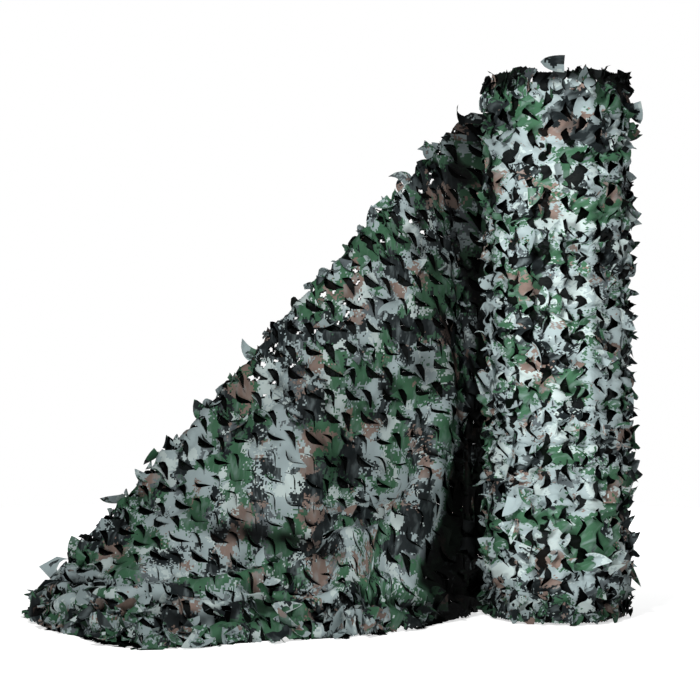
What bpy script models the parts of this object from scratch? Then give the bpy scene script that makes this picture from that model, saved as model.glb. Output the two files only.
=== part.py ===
"""Camouflage net: a bulk roll of die-cut net standing on end, with its loose end drawn off to the left.

Run with: blender --background --python part.py
The origin is the middle of the roll's foot. The loose end runs towards -X, and -Y is its front.
The loose end leaves the back of the roll, its upper corner is folded down behind a straight slant,
and its lower edge trails forward over the floor in a heap of low folds.
"""

import math
from collections import namedtuple

import bpy
import numpy as np

# Driving dimensions of the roll, in metres.
ROLL_RADIUS = 0.205
ROLL_HEIGHT = 1.485
ROLL_COLUMNS = 48
ROLL_ROWS = 32
RIM_ROUNDING = 0.012
LEAF_RISE = 0.010
LEAF_SCATTER = 0.008
TURN_RELIEF = 0.007
TURN_RADII = (0.93, 0.80, 0.66, 0.50, 0.34, 0.18)
SEAM_FROM_DEG = 84.0
SEAM_TO_DEG = 172.0
SEAM_FADE_DEG = 9.0
LEAF_COLUMN_STEP = 4
LEAF_ROW_SHIFT = 2
SEED = 11

# Driving dimensions of the loose end, in metres.
SHEET_THICKNESS = 0.002
PIECE_GAP = 0.0003
CHORD_ALLOWANCE = 0.0022
SLANT_TOP_X = -0.235
SLANT_TOP_Z = 1.42
SLANT_TIP_X = -1.475
SLANT_TIP_Z = 0.03
TANGENT_X = -0.014
TANGENT_Z = 1.445
TOP_EDGE_OFF_ROLL = 0.0025
SLANT_TURN_IN = 0.0937
FOLD_RADIUS = 0.014
FOLD_STARTS = 0.03
FOLD_FADE = 0.08
FOLD_SHARE_OF_HEIGHT = 0.4
FOLD_STEP = 0.011
MITRE_MOST = 1.8
EASE_BELOW = 0.82
EASE_SHARE = 0.5
EASE_ROUNDS = 40
FLAP_LEAN = 0.10
FLAP_LEAST = 0.05
FLAP_ON_FLOOR = 0.16
FLAP_SWAY = 0.016
FLAP_SWAY_PITCH = 0.31
FLAP_SWAY_FADE = 0.2
COLUMNS_PER_SECTION = 3
FRONT_ROWS = 30
FLAP_ROWS = 9
FLAP_FIRST_COLUMN = 6
SECTION_SAMPLES = 120
HEM_FLAT = 0.04
HEM_FADE = 0.06
TOP_EDGE_TAUT = 0.12
HEAP_DEPTH = 0.44
HEAP_PITCH = 0.135
HEAP_RISE = 0.026
HEAP_FROM = 0.40
HEAP_FADE = 0.25
HEAP_FULL_RUN = 0.6
HEAP_WANDER = ((0.9, 0.55, 0.0), (0.6, 0.23, 1.0))  # radians of swing, pitch along the hem, start

# Gaps cut through the loose end, one in every few cells of its grid.
GAP_COLUMN_STEP = 2
GAP_ROW_STEP = 2
GAP_LEAST_SIDE = 0.024

Section = namedtuple("Section", "top_x brow belly shoulder hem")
SECTIONS = (  # metres; brow, belly and shoulder are (x, y, z), and the hem is (x, y) on the floor
    Section(-0.014, (-0.029, 0.207, 1.00), (-0.061, 0.200, 0.50), (-0.088, 0.190, 0.15), (-0.101, 0.183)),
    Section(-0.130, (-0.155, 0.165, 1.00), (-0.190, 0.110, 0.50), (-0.205, 0.065, 0.15), (-0.209, 0.050)),
    Section(-0.235, (-0.235, 0.120, 1.00), (-0.240, 0.070, 0.55), (-0.245, 0.000, 0.15), (-0.250, -0.050)),
    Section(-0.300, (-0.275, 0.135, 1.00), (-0.262, 0.085, 0.55), (-0.275, -0.010, 0.15), (-0.295, -0.110)),
    Section(-0.370, (-0.330, 0.075, 0.95), (-0.325, -0.070, 0.55), (-0.430, -0.235, 0.14), (-0.430, -0.290)),
    Section(-0.520, (-0.500, 0.080, 0.80), (-0.530, 0.020, 0.44), (-0.550, -0.210, 0.23), (-0.550, -0.380)),
    Section(-0.660, (-0.660, 0.070, 0.70), (-0.660, -0.020, 0.44), (-0.660, -0.220, 0.20), (-0.660, -0.430)),
    Section(-0.800, (-0.800, 0.050, 0.58), (-0.800, -0.060, 0.38), (-0.800, -0.200, 0.21), (-0.800, -0.470)),
    Section(-0.930, (-0.930, 0.050, 0.48), (-0.930, -0.060, 0.32), (-0.930, -0.240, 0.17), (-0.930, -0.545)),
    Section(-1.060, (-1.060, 0.040, 0.37), (-1.060, -0.060, 0.25), (-1.060, -0.260, 0.14), (-1.070, -0.560)),
    Section(-1.180, (-1.180, 0.040, 0.27), (-1.180, -0.050, 0.19), (-1.180, -0.220, 0.11), (-1.170, -0.530)),
    Section(-1.300, (-1.300, 0.030, 0.165), (-1.300, -0.050, 0.12), (-1.290, -0.170, 0.07), (-1.270, -0.400)),
    Section(-1.400, (-1.400, 0.030, 0.085), (-1.400, -0.030, 0.06), (-1.390, -0.110, 0.04), (-1.380, -0.260)),
    Section(-1.475, (-1.475, 0.035, 0.026), (-1.475, 0.010, 0.02), (-1.475, -0.010, 0.012), (-1.470, -0.050)),
)

Crease = namedtuple("Crease", "from_x from_z to_x to_z width rise")
CREASES = (  # metres, as seen from the front; rise is outwards, and a hollow has a negative one
    Crease(-0.310, 0.660, -0.360, 0.420, 0.035, 0.016),
    Crease(-0.360, 0.420, -0.430, 0.120, 0.040, 0.020),
    Crease(-0.385, 0.480, -0.430, 0.290, 0.040, 0.014),
    Crease(-0.430, 0.290, -0.590, 0.215, 0.045, 0.026),
    Crease(-0.590, 0.215, -0.690, 0.140, 0.045, 0.024),
    Crease(-0.440, 0.390, -0.620, 0.350, 0.050, -0.034),
    Crease(-0.700, 0.225, -0.850, 0.195, 0.045, -0.034),
    Crease(-0.850, 0.195, -1.050, 0.178, 0.050, -0.024),
    Crease(-0.800, 0.420, -0.900, 0.340, 0.090, 0.026),
    Crease(-0.900, 0.275, -1.060, 0.235, 0.050, 0.016),
    Crease(-1.060, 0.235, -1.170, 0.140, 0.055, 0.014),
    Crease(-0.560, 0.860, -0.700, 0.560, 0.080, 0.020),
    Crease(-0.480, 0.700, -0.560, 0.520, 0.060, -0.018),
    Crease(-0.700, 0.680, -0.860, 0.560, 0.050, -0.014),
)


def smoothstep(value):
    value = np.clip(value, 0.0, 1.0)
    return value * value * (3.0 - 2.0 * value)


def through(points, knots, wanted):
    """A smooth curve through the points, read at the wanted knot values."""
    steps = np.diff(knots)
    slopes = np.diff(points, axis=0) / steps[:, None]
    tangents = np.empty_like(points)
    tangents[0] = slopes[0]
    tangents[-1] = slopes[-1]
    share = (steps[:-1] / (steps[:-1] + steps[1:]))[:, None]
    tangents[1:-1] = slopes[:-1] * (1.0 - share) + slopes[1:] * share
    index = np.clip(np.searchsorted(knots, wanted, side="right") - 1, 0, len(steps) - 1)
    width = steps[index][:, None]
    t = ((wanted - knots[index]) / steps[index])[:, None]
    return (
        (2 * t**3 - 3 * t**2 + 1) * points[index]
        + (t**3 - 2 * t**2 + t) * width * tangents[index]
        + (3 * t**2 - 2 * t**3) * points[index + 1]
        + (t**3 - t**2) * width * tangents[index + 1]
    )


def top_point(top_x):
    """The top edge: level as it leaves the roll, then a straight slant down to the tip."""
    level = TANGENT_Z + (SLANT_TOP_Z - TANGENT_Z) * (top_x - TANGENT_X) / (SLANT_TOP_X - TANGENT_X)
    slope = (SLANT_TIP_Z - SLANT_TOP_Z) / (SLANT_TIP_X - SLANT_TOP_X)
    slanted = SLANT_TOP_Z + slope * (top_x - SLANT_TOP_X)
    y = ROLL_RADIUS + TOP_EDGE_OFF_ROLL + SLANT_TURN_IN * (top_x - TANGENT_X)
    return np.array([top_x, y, level if top_x > SLANT_TOP_X else slanted])


def section_controls():
    """One row of control points for each section: top, lip, brow, belly, shoulder and hem."""
    rows = []
    for section in SECTIONS:
        top = top_point(section.top_x)
        folded = float(smoothstep((SLANT_TOP_X + FOLD_STARTS - section.top_x) / FOLD_FADE))
        round_over = FOLD_RADIUS * folded
        lip = top + np.array([0.0, -round_over, -max(round_over, SHEET_THICKNESS)])
        lip[2] = max(lip[2], section.brow[2] + SHEET_THICKNESS / 2)
        hem = np.array([*section.hem, SHEET_THICKNESS / 2])
        rows.append([top, lip, section.brow, section.belly, section.shoulder, hem])
    return np.array(rows, float)


def section_curve(controls):
    """Dense points down one section, with the distance run from the top."""
    lengths = np.linalg.norm(np.diff(controls, axis=0), axis=1)
    knots = np.concatenate([[0.0], np.cumsum(np.sqrt(lengths))])
    points = through(controls, knots, np.linspace(0.0, knots[-1], SECTION_SAMPLES))
    run = np.concatenate([[0.0], np.cumsum(np.linalg.norm(np.diff(points, axis=0), axis=1))])
    return points, run


def heap_height(along, from_hem):
    """Height of the low folds that run along the hem, above the plain slope."""
    phase = sum(swing * np.sin(along / pitch * math.tau + start) for swing, pitch, start in HEAP_WANDER)
    wave = np.cos(from_hem / HEAP_PITCH * math.tau + phase)
    near_hem = smoothstep((from_hem - HEM_FLAT) / HEM_FADE)
    far = 1.0 - smoothstep((from_hem - HEAP_DEPTH * 0.6) / (HEAP_DEPTH * 0.4))
    outward = smoothstep((along - HEAP_FROM) / HEAP_FADE)
    return HEAP_RISE * wave * near_hem * far * outward


def crease_lift(points):
    """Outward rise of the hand-placed folds and hollows, by distance from their lines seen from the front."""
    lift = np.zeros(points.shape[:-1])
    for crease in CREASES:
        start = np.array([crease.from_x, crease.from_z])
        line = np.array([crease.to_x, crease.to_z]) - start
        away = points[..., [0, 2]] - start
        share = np.clip(away @ line / (line @ line), 0.0, 1.0)
        distance = np.linalg.norm(away - share[..., None] * line, axis=-1)
        lift += crease.rise * np.exp(-((distance / crease.width) ** 2))
    return lift


def row_runs(length, rows):
    """Distances from the top edge: two short steps round the fold, then even ones."""
    return np.concatenate([[0.0, FOLD_STEP], np.linspace(2 * FOLD_STEP, length, rows - 1)])


def front_grid(columns):
    """Rows of points from the top edge to the hem, for each fractional section number."""
    controls = section_controls()
    numbers = np.arange(len(controls), dtype=float)
    grid = []
    for column in columns:
        at = through(controls.reshape(len(controls), -1), numbers, np.array([column])).reshape(-1, 3)
        points, run = section_curve(at)
        wanted = row_runs(run[-1], FRONT_ROWS)
        line = np.column_stack([np.interp(wanted, run, points[:, axis]) for axis in range(3)])
        grid.append(line)
    grid = np.array(grid)
    normal = grid_normals(grid)
    for number in range(len(columns)):
        line = grid[number]
        run = np.concatenate([[0.0], np.cumsum(np.linalg.norm(np.diff(line, axis=0), axis=1))])
        lift = heap_height(-line[:, 0], run[-1] - run) * smoothstep(run[-1] / HEAP_FULL_RUN)
        settled = smoothstep((run[-1] - run) / HEM_FLAT) * smoothstep(run / TOP_EDGE_TAUT)
        lift = (lift + crease_lift(line)) * settled
        grid[number] = line + normal[number] * lift[:, None]
    return grid


def flap_grid(tops):
    """The corner folded down behind the slant: rows of points going down the back."""
    grid = []
    for top in tops:
        length = np.clip(TANGENT_Z - top[2] + FLAP_LEAST, FLAP_LEAST, top[2] + FLAP_ON_FLOOR)
        grid.append([flap_point(top, distance) for distance in row_runs(length, FLAP_ROWS)[1:]])
    return np.array(grid)


def flap_point(top, distance):
    """A point this far over the fold: round it, down the back, then out over the floor."""
    radius = min(FOLD_RADIUS, top[2] * FOLD_SHARE_OF_HEIGHT)
    quarter = radius * math.pi / 2
    if distance < quarter:
        turn = distance / radius
        return top + np.array([0.0, radius * math.sin(turn), -radius * (1.0 - math.cos(turn))])
    hang = top[2] - radius - SHEET_THICKNESS / 2
    down = min(distance - quarter, hang)
    out = max(distance - quarter - hang, 0.0)
    sway = FLAP_SWAY * math.sin(top[0] / FLAP_SWAY_PITCH * math.tau) * min(down / FLAP_SWAY_FADE, 1.0)
    return np.array([top[0], top[1] + radius + FLAP_LEAN * down + sway + out, top[2] - radius - down])


def grid_normals(grid):
    """Unit normals of a grid of points, towards the front and upwards."""
    along = np.gradient(grid, axis=0)
    across = np.gradient(grid, axis=1)
    normal = np.cross(along, across)
    return normal / np.maximum(np.linalg.norm(normal, axis=2, keepdims=True), 1e-9)


def keep_off_roll(points):
    """Cloth that would enter the roll lies against it instead."""
    clear = ROLL_RADIUS + PIECE_GAP + SHEET_THICKNESS / 2 + CHORD_ALLOWANCE
    radius = np.hypot(points[..., 0], points[..., 1])
    push = np.where(radius < clear, clear / radius, 1.0)
    points[..., :2] *= push[..., None]
    return points


def loose_end_points():
    """The middle surface of the loose end as one grid: flap rows first, then the front rows."""
    count = (len(SECTIONS) - 1) * COLUMNS_PER_SECTION + 1
    columns = np.linspace(0.0, len(SECTIONS) - 1.0, count)
    front = keep_off_roll(front_grid(columns))
    front[..., 2] = np.maximum(front[..., 2], SHEET_THICKNESS / 2)
    flap = flap_grid(front[:, 0])
    return keep_off_roll(ease_tight_folds(np.concatenate([flap[:, ::-1], front], axis=1)))


def gap_here(grid, column, row):
    """Whether this cell of the grid is one of the gaps."""
    if row % GAP_ROW_STEP or column in (0, grid.shape[0] - 2) or row in (0, grid.shape[1] - 2):
        return False
    shift = (row // GAP_ROW_STEP) % 2
    if (column + shift) % GAP_COLUMN_STEP:
        return False
    cell = grid[column : column + 2, row : row + 2]
    across = np.linalg.norm(cell[1] - cell[0], axis=1)
    down = np.linalg.norm(cell[:, 1] - cell[:, 0], axis=1)
    return min(across.min(), down.min()) > GAP_LEAST_SIDE


def squareness(grid, normal):
    """How square each point's normal is to the cells that meet there: one in flat cloth, less at a fold."""
    rise = grid[:, 1:] - grid[:, :-1]
    pace = grid[1:] - grid[:-1]
    least = np.ones(normal.shape[:2])
    for right in (0, 1):
        for low in (0, 1):
            facet = np.cross(pace[:, low : low + grid.shape[1] - 1], rise[right : right + grid.shape[0] - 1])
            facet /= np.maximum(np.linalg.norm(facet, axis=2, keepdims=True), 1e-9)
            facet = np.pad(facet, ((1, 1), (1, 1), (0, 0)), mode="edge")
            for i in (0, 1):
                for j in (0, 1):
                    near = facet[i : i + normal.shape[0], j : j + normal.shape[1]]
                    least = np.minimum(least, np.sum(normal * near, axis=2))
    return least


def ease_tight_folds(grid):
    """Draw points towards their neighbours where the cloth would fold tighter than it can."""
    fold = slice(FLAP_ROWS - 2, FLAP_ROWS + 3)
    for _ in range(EASE_ROUNDS):
        tight = squareness(grid, grid_normals(grid)) < EASE_BELOW
        tight[:, fold] = False
        around = (grid[:-2, 1:-1] + grid[2:, 1:-1] + grid[1:-1, :-2] + grid[1:-1, 2:]) / 4
        moved = grid[1:-1, 1:-1] * (1.0 - EASE_SHARE) + around * EASE_SHARE
        grid[1:-1, 1:-1] = np.where(tight[1:-1, 1:-1, None], moved, grid[1:-1, 1:-1])
    return grid


def two_sides(grid):
    """The sheet's front and back points, set off further at folds so that its thickness holds there."""
    normal = grid_normals(grid)
    reach = SHEET_THICKNESS / 2 / np.clip(squareness(grid, normal), 1 / MITRE_MOST, 1.0)
    upper = grid + normal * reach[..., None]
    lower = grid - normal * reach[..., None]
    lift = np.maximum(-np.minimum(upper[..., 2], lower[..., 2]), 0.0)
    upper[..., 2] += lift
    lower[..., 2] += lift
    return upper, lower


def cell_halves(grid, ring):
    """A cell's two triangles, split along its shorter diagonal so that both sides of the sheet match."""
    first, second, third, fourth = ring
    if np.linalg.norm(grid[first] - grid[third]) <= np.linalg.norm(grid[second] - grid[fourth]):
        return [[first, second, third], [first, third, fourth]]
    return [[first, second, fourth], [second, third, fourth]]


def sheet_mesh(grid):
    """A sheet of even thickness on the grid, with its gaps cut through and every edge closed."""
    columns, rows = grid.shape[:2]
    upper, lower = two_sides(grid)
    cells = []
    for column in range(columns - 1):
        for row in range(rows - 1):
            if row < FLAP_ROWS and column < FLAP_FIRST_COLUMN:
                continue
            if not gap_here(grid, column, row):
                cells.append((column, row))
    faces = []
    edges = {}
    for column, row in cells:
        ring = [(column, row), (column, row + 1), (column + 1, row + 1), (column + 1, row)]
        for half in cell_halves(grid, ring):
            faces.append([("u", *corner) for corner in reversed(half)])
            faces.append([("l", *corner) for corner in half])
        for start, end in zip(ring, ring[1:] + ring[:1]):
            edges[(start, end)] = edges.get((start, end), 0) + 1
    for start, end in edges:
        if (end, start) not in edges:
            faces.append([("l", *end), ("l", *start), ("u", *start), ("u", *end)])
    index = {}
    points = []
    for face in faces:
        for key in face:
            if key not in index:
                index[key] = len(points)
                side, column, row = key
                points.append((upper if side == "u" else lower)[column, row])
    return points, [[index[key] for key in face] for face in faces]


def leaf_rise(angle_deg, column, row, random):
    """How far a point on the roll's side stands out: staggered leaves, none where the loose end lies."""
    staggered = (column + LEAF_ROW_SHIFT * (row % 2)) % LEAF_COLUMN_STEP == 0
    rise = (LEAF_RISE if staggered else 0.0) + LEAF_SCATTER * random.random()
    inside = min(angle_deg - SEAM_FROM_DEG, SEAM_TO_DEG - angle_deg) / SEAM_FADE_DEG
    return rise * float(1.0 - smoothstep(inside + 0.5))


def roll_mesh():
    """The wound roll as one closed solid: a leafy side, a flat foot and turns raised at the top."""
    random = np.random.default_rng(SEED)
    rings = [[(0.0, 0.0, 0.0)]]
    levels = [(0.0, ROLL_RADIUS - RIM_ROUNDING), (RIM_ROUNDING, ROLL_RADIUS)]
    step = (ROLL_HEIGHT - 2 * RIM_ROUNDING) / ROLL_ROWS
    levels += [(RIM_ROUNDING + step * row, ROLL_RADIUS) for row in range(1, ROLL_ROWS)]
    levels += [(ROLL_HEIGHT - RIM_ROUNDING, ROLL_RADIUS), (ROLL_HEIGHT, ROLL_RADIUS - RIM_ROUNDING)]
    for row, (height, radius) in enumerate(levels):
        ring = []
        for column in range(ROLL_COLUMNS):
            angle = math.tau * column / ROLL_COLUMNS
            rise = leaf_rise(math.degrees(angle), column, row, random) if row else 0.0
            top_lift = LEAF_SCATTER * random.random() if row >= len(levels) - 2 else 0.0
            out = radius + rise
            ring.append((out * math.cos(angle), out * math.sin(angle), height + top_lift))
        rings.append(ring)
    for number, share in enumerate(TURN_RADII):
        ring = []
        for column in range(ROLL_COLUMNS):
            angle = math.tau * column / ROLL_COLUMNS
            out = ROLL_RADIUS * share
            lift = TURN_RELIEF * (number % 2) + LEAF_SCATTER * random.random()
            ring.append((out * math.cos(angle), out * math.sin(angle), ROLL_HEIGHT - TURN_RELIEF + lift))
        rings.append(ring)
    rings.append([(0.0, 0.0, ROLL_HEIGHT - 2 * TURN_RELIEF)])
    return skin_of(rings)


def skin_of(rings):
    """A closed skin over rings that start and end in a single point."""
    points = [point for ring in rings for point in ring]
    starts = np.cumsum([0] + [len(ring) for ring in rings])
    count = len(rings[1])
    faces = [[0, 1 + (k + 1) % count, 1 + k] for k in range(count)]
    for ring in range(1, len(rings) - 2):
        low = starts[ring]
        high = starts[ring + 1]
        for k in range(count):
            after = (k + 1) % count
            faces.append([low + k, low + after, high + after, high + k])
    last = starts[-2]
    before = starts[-3]
    faces += [[before + k, before + (k + 1) % count, last] for k in range(count)]
    return points, faces


def material(name, colour, roughness):
    made = bpy.data.materials.new(name)
    made.use_nodes = True
    shader = made.node_tree.nodes["Principled BSDF"]
    shader.inputs["Base Color"].default_value = (*colour, 1.0)
    shader.inputs["Roughness"].default_value = roughness
    shader.inputs["Metallic"].default_value = 0.0
    return made


def add_object(name, points, faces, look):
    mesh = bpy.data.meshes.new(name)
    mesh.from_pydata([tuple(map(float, point)) for point in points], [], [list(map(int, f)) for f in faces])
    mesh.validate()
    mesh.materials.append(look)
    made = bpy.data.objects.new(name, mesh)
    bpy.context.scene.collection.objects.link(made)
    return made


def main():
    for old in list(bpy.data.objects):
        bpy.data.objects.remove(old, do_unlink=True)
    wound = material("wound_net", (0.20, 0.24, 0.23), 0.85)
    drawn = material("drawn_net", (0.24, 0.28, 0.28), 0.85)
    add_object("net_roll", *roll_mesh(), wound)
    add_object("loose_end", *sheet_mesh(loose_end_points()), drawn)


main()
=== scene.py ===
"""Camouflage net: a bulk roll of die-cut net standing on end, with its loose end drawn off and draped.

The cloth is a grid of small cells. Hooked cuts open between the cells, and the tongue inside each hook
bends out of the cloth. The same cuts lie level on the loose end, and on the roll they are turned by 45
degrees and squashed a little from top to bottom.
"""

import math
from collections import namedtuple

import bpy
import numpy as np
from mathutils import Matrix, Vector


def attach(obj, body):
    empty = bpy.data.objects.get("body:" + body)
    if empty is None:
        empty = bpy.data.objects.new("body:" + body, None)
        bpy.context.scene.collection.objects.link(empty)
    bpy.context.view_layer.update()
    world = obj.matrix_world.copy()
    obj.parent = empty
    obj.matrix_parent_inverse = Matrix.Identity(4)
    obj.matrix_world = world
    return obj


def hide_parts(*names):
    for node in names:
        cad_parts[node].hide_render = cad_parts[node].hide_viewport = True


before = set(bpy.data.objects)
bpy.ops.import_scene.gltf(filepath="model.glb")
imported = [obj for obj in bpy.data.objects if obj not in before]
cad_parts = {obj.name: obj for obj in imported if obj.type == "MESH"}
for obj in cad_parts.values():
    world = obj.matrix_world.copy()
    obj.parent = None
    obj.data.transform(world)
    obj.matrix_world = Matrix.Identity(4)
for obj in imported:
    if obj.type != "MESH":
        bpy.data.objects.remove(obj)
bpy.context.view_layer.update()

bl_info = {
    "name": "Camouflage net",
    "version": (1, 0, 0),
    "blender": (4, 5, 0),
    "location": "3D View > Sidebar > Camouflage net",
    "description": "Builds a roll of die-cut net with its loose end draped over the floor",
    "category": "Object",
}

# The shape of the drape, in metres, as in the part's source.
ROLL_RADIUS = 0.205
ROLL_HEIGHT = 1.485
SHEET_THICKNESS = 0.002
PIECE_GAP = 0.0003
CHORD_ALLOWANCE = 0.0022
SLANT_TOP_X = -0.235
SLANT_TOP_Z = 1.42
SLANT_TIP_X = -1.475
SLANT_TIP_Z = 0.03
TANGENT_X = -0.014
TANGENT_Z = 1.445
TOP_EDGE_OFF_ROLL = 0.0025
SLANT_TURN_IN = 0.0937
SLANT_BACK_Y = 0.19
FOLD_RADIUS = 0.014
FOLD_STARTS = 0.03
FOLD_FADE = 0.08
FOLD_SHARE_OF_HEIGHT = 0.4
FLAP_LEAN = 0.10
FLAP_LEAST = 0.05
FLAP_ON_FLOOR = 0.16
FLAP_SWAY = 0.016
FLAP_SWAY_PITCH = 0.31
FLAP_SWAY_FADE = 0.2
FLAP_FIRST_SECTION = 2.0
HEM_FLAT = 0.04
HEM_FADE = 0.06
TOP_EDGE_TAUT = 0.12
HEAP_DEPTH = 0.44
HEAP_PITCH = 0.135
HEAP_RISE = 0.026
HEAP_FROM = 0.40
HEAP_FADE = 0.25
HEAP_FULL_RUN = 0.6
HEAP_WANDER = ((0.9, 0.55, 0.0), (0.6, 0.23, 1.0))  # radians of swing, pitch along the hem, start

Section = namedtuple("Section", "top_x brow belly shoulder hem")
SECTIONS = (  # metres, one Section in a row; brow, belly and shoulder are (x, y, z), the hem is (x, y)
    (-0.014, (-0.029, 0.207, 1.00), (-0.061, 0.200, 0.50), (-0.088, 0.190, 0.15), (-0.101, 0.183)),
    (-0.130, (-0.155, 0.165, 1.00), (-0.190, 0.110, 0.50), (-0.205, 0.065, 0.15), (-0.209, 0.050)),
    (-0.235, (-0.235, 0.120, 1.00), (-0.240, 0.070, 0.55), (-0.245, 0.000, 0.15), (-0.250, -0.050)),
    (-0.300, (-0.275, 0.135, 1.00), (-0.262, 0.085, 0.55), (-0.275, -0.010, 0.15), (-0.295, -0.110)),
    (-0.370, (-0.330, 0.075, 0.95), (-0.325, -0.070, 0.55), (-0.430, -0.235, 0.14), (-0.430, -0.290)),
    (-0.520, (-0.500, 0.080, 0.80), (-0.530, 0.020, 0.44), (-0.550, -0.210, 0.23), (-0.550, -0.380)),
    (-0.660, (-0.660, 0.070, 0.70), (-0.660, -0.020, 0.44), (-0.660, -0.220, 0.20), (-0.660, -0.430)),
    (-0.800, (-0.800, 0.050, 0.58), (-0.800, -0.060, 0.38), (-0.800, -0.200, 0.21), (-0.800, -0.470)),
    (-0.930, (-0.930, 0.050, 0.48), (-0.930, -0.060, 0.32), (-0.930, -0.240, 0.17), (-0.930, -0.545)),
    (-1.060, (-1.060, 0.040, 0.37), (-1.060, -0.060, 0.25), (-1.060, -0.260, 0.14), (-1.070, -0.560)),
    (-1.180, (-1.180, 0.040, 0.27), (-1.180, -0.050, 0.19), (-1.180, -0.220, 0.11), (-1.170, -0.530)),
    (-1.300, (-1.300, 0.030, 0.165), (-1.300, -0.050, 0.12), (-1.290, -0.170, 0.07), (-1.270, -0.400)),
    (-1.400, (-1.400, 0.030, 0.085), (-1.400, -0.030, 0.06), (-1.390, -0.110, 0.04), (-1.380, -0.260)),
    (-1.475, (-1.475, 0.035, 0.026), (-1.475, 0.010, 0.02), (-1.475, -0.010, 0.012), (-1.470, -0.050)),
)

Crease = namedtuple("Crease", "from_x from_z to_x to_z width rise")
CREASES = (  # metres, one Crease in a row, as seen from the front; a hollow has a negative rise
    (-0.310, 0.660, -0.360, 0.420, 0.035, 0.016),
    (-0.360, 0.420, -0.430, 0.120, 0.040, 0.020),
    (-0.385, 0.480, -0.430, 0.290, 0.040, 0.014),
    (-0.430, 0.290, -0.590, 0.215, 0.045, 0.026),
    (-0.590, 0.215, -0.690, 0.140, 0.045, 0.024),
    (-0.440, 0.390, -0.620, 0.350, 0.050, -0.034),
    (-0.700, 0.225, -0.850, 0.195, 0.045, -0.034),
    (-0.850, 0.195, -1.050, 0.178, 0.050, -0.024),
    (-0.800, 0.420, -0.900, 0.340, 0.090, 0.026),
    (-0.900, 0.275, -1.060, 0.235, 0.050, 0.016),
    (-1.060, 0.235, -1.170, 0.140, 0.055, 0.014),
    (-0.560, 0.860, -0.700, 0.560, 0.080, 0.020),
    (-0.480, 0.700, -0.560, 0.520, 0.060, -0.018),
    (-0.700, 0.680, -0.860, 0.560, 0.050, -0.014),
)

# How finely the drape is worked out before the cloth is laid on it.
COLUMNS_PER_SECTION = 20
FRONT_SAMPLES = 220
FLAP_SAMPLES = 60
LEVEL_Z = 1.46
SHARED_AT_FOLD = 0.03

# The cuts, in cells of the cloth: a hook has a corner and two arms, and its tongue lies between them.
Hook = namedtuple("Hook", "across down arm_across arm_down")
HOOKS = (Hook(0, 0, -6, 9), Hook(5, 5, 10, -6))
CUT_PITCH_ACROSS = 20
CUT_PITCH_DOWN = 10
CORNER_ROUND = 1.0
CORNER_REACH = 3.2
LIP_REACH = 4.8
# Depth in metres at which a sunk point's painted shade is full.
DARK_AT_DEPTH = 0.010
THROWN_TURN = math.radians(62.0)
LEAST_CURL = 0.02
FEW_WIDE = 1.5  # the higher, the fewer tongues stand wide open
TWIST = 0.6
INWARD_SHARE = 0.6
LEAST_SLIT = 0.8
SLIT_AT_ENDS = 0.3
LEAST_LIP = 0.3
LEAST_ISLAND = 40
LUCK_ROWS = 4096
TONGUE_LUCK = (811, 97, 1999)  # steps in the table of luck for a hook's number, its row and its kind
LIP_LUCK = (613, 131, 977)

# How tongues bend: hinges and curls in degrees, the lip in metres, and the rest are shares.
Curl = namedtuple("Curl", "least_hinge more_hinge least_curl more_curl inward sway shrink lip slit thrown")
FRONT_CURL = Curl(20.0, 60.0, 20.0, 90.0, 0.45, 0.40, 0.36, 0.012, 0.7, 0.36)
PLY_CURL = Curl(20.0, 60.0, 20.0, 90.0, 0.35, 0.35, 0.2, 0.0, 0.08, 0.4)
ROLL_CURL = Curl(20.0, 46.0, 30.0, 90.0, 0.50, 0.5, 0.30, 0.020, 0.7, 0.24)

# Cloth to be cut: its points, which of them are cloth, its relief, and how far its tongues open.
Ground = namedtuple("Ground", "grid kept relief fluff")

# Small gaps below the slant, in metres: where they begin, how far they spread, and their sizes.
PEEPHOLES = 34
PEEP_SEED = 5
PEEP_FROM_X = -0.34
PEEP_TO_X = -0.90
PEEP_LEAST_BELOW = 0.035
PEEP_MORE_BELOW = 0.16
PEEP_LEAST_LEAN = 0.2
PEEP_MORE_LEAN = 1.4
PEEP_LEAST_SIZE = 0.55
PEEP_MORE_SIZE = 0.6
PEEP_REACH = (0.0125, 0.0095)

# The surface of the loose end, in metres, and where its loose leaves lie.
TUCK_HEIGHT = 0.026
TUCK_BELOW = 0.05
TUCK_FADE = 0.12
LEAST_Z = 0.0005
PLY_OPEN_REACH = 0.22
CREST_REACH = 0.05
ROUGH_FLUFF = 0.62
HEM_LEAVES_BELOW = 0.07

LEAF_SHAPES = (  # width for a length of one, fold along the middle, and curl
    ("curled_leaf", 0.95, 0.15, 0.9),
    ("folded_leaf", 0.75, 0.9, 0.5),
    ("hooked_leaf", 0.60, 0.3, 1.7),
)

Spot = namedtuple("Spot", "strength x z wide tall")
SMOOTH_SPOTS = (  # metres; where the drape lies taut and its tongues lie flat
    Spot(0.92, -0.84, 0.36, 0.25, 0.18),
    Spot(0.93, -0.40, 0.36, 0.13, 0.26),
    Spot(0.85, -0.62, 0.19, 0.15, 0.085),
    Spot(0.75, -1.07, 0.15, 0.20, 0.060),
)
# Spots of painted shade over the loose end, which also draw in darker patches; a spot on the belly with less
# of the even painted shade; and painted shade in the hollow under the belly.
SHADE_SPOTS = (Spot(0.60, -0.62, 0.42, 0.13, 0.12), Spot(0.80, -0.37, 0.69, 0.07, 0.10))
PLAIN_SPOT = Spot(0.5, -0.86, 0.36, 0.20, 0.14)
HOLLOW_SPOT = Spot(0.85, -0.80, 0.235, 0.22, 0.034)
HOLLOW_LEAN = 0.15
VALLEY_EDGE = (  # metres; height above the floor, and where the painted shade of the valley beside the roll begins
    (0.08, -0.370), (0.12, -0.410), (0.16, -0.402), (0.27, -0.345), (0.41, -0.315), (0.53, -0.268),
    (0.62, -0.242), (0.82, -0.235), (0.95, -0.275), (1.10, -0.320),
)

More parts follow.
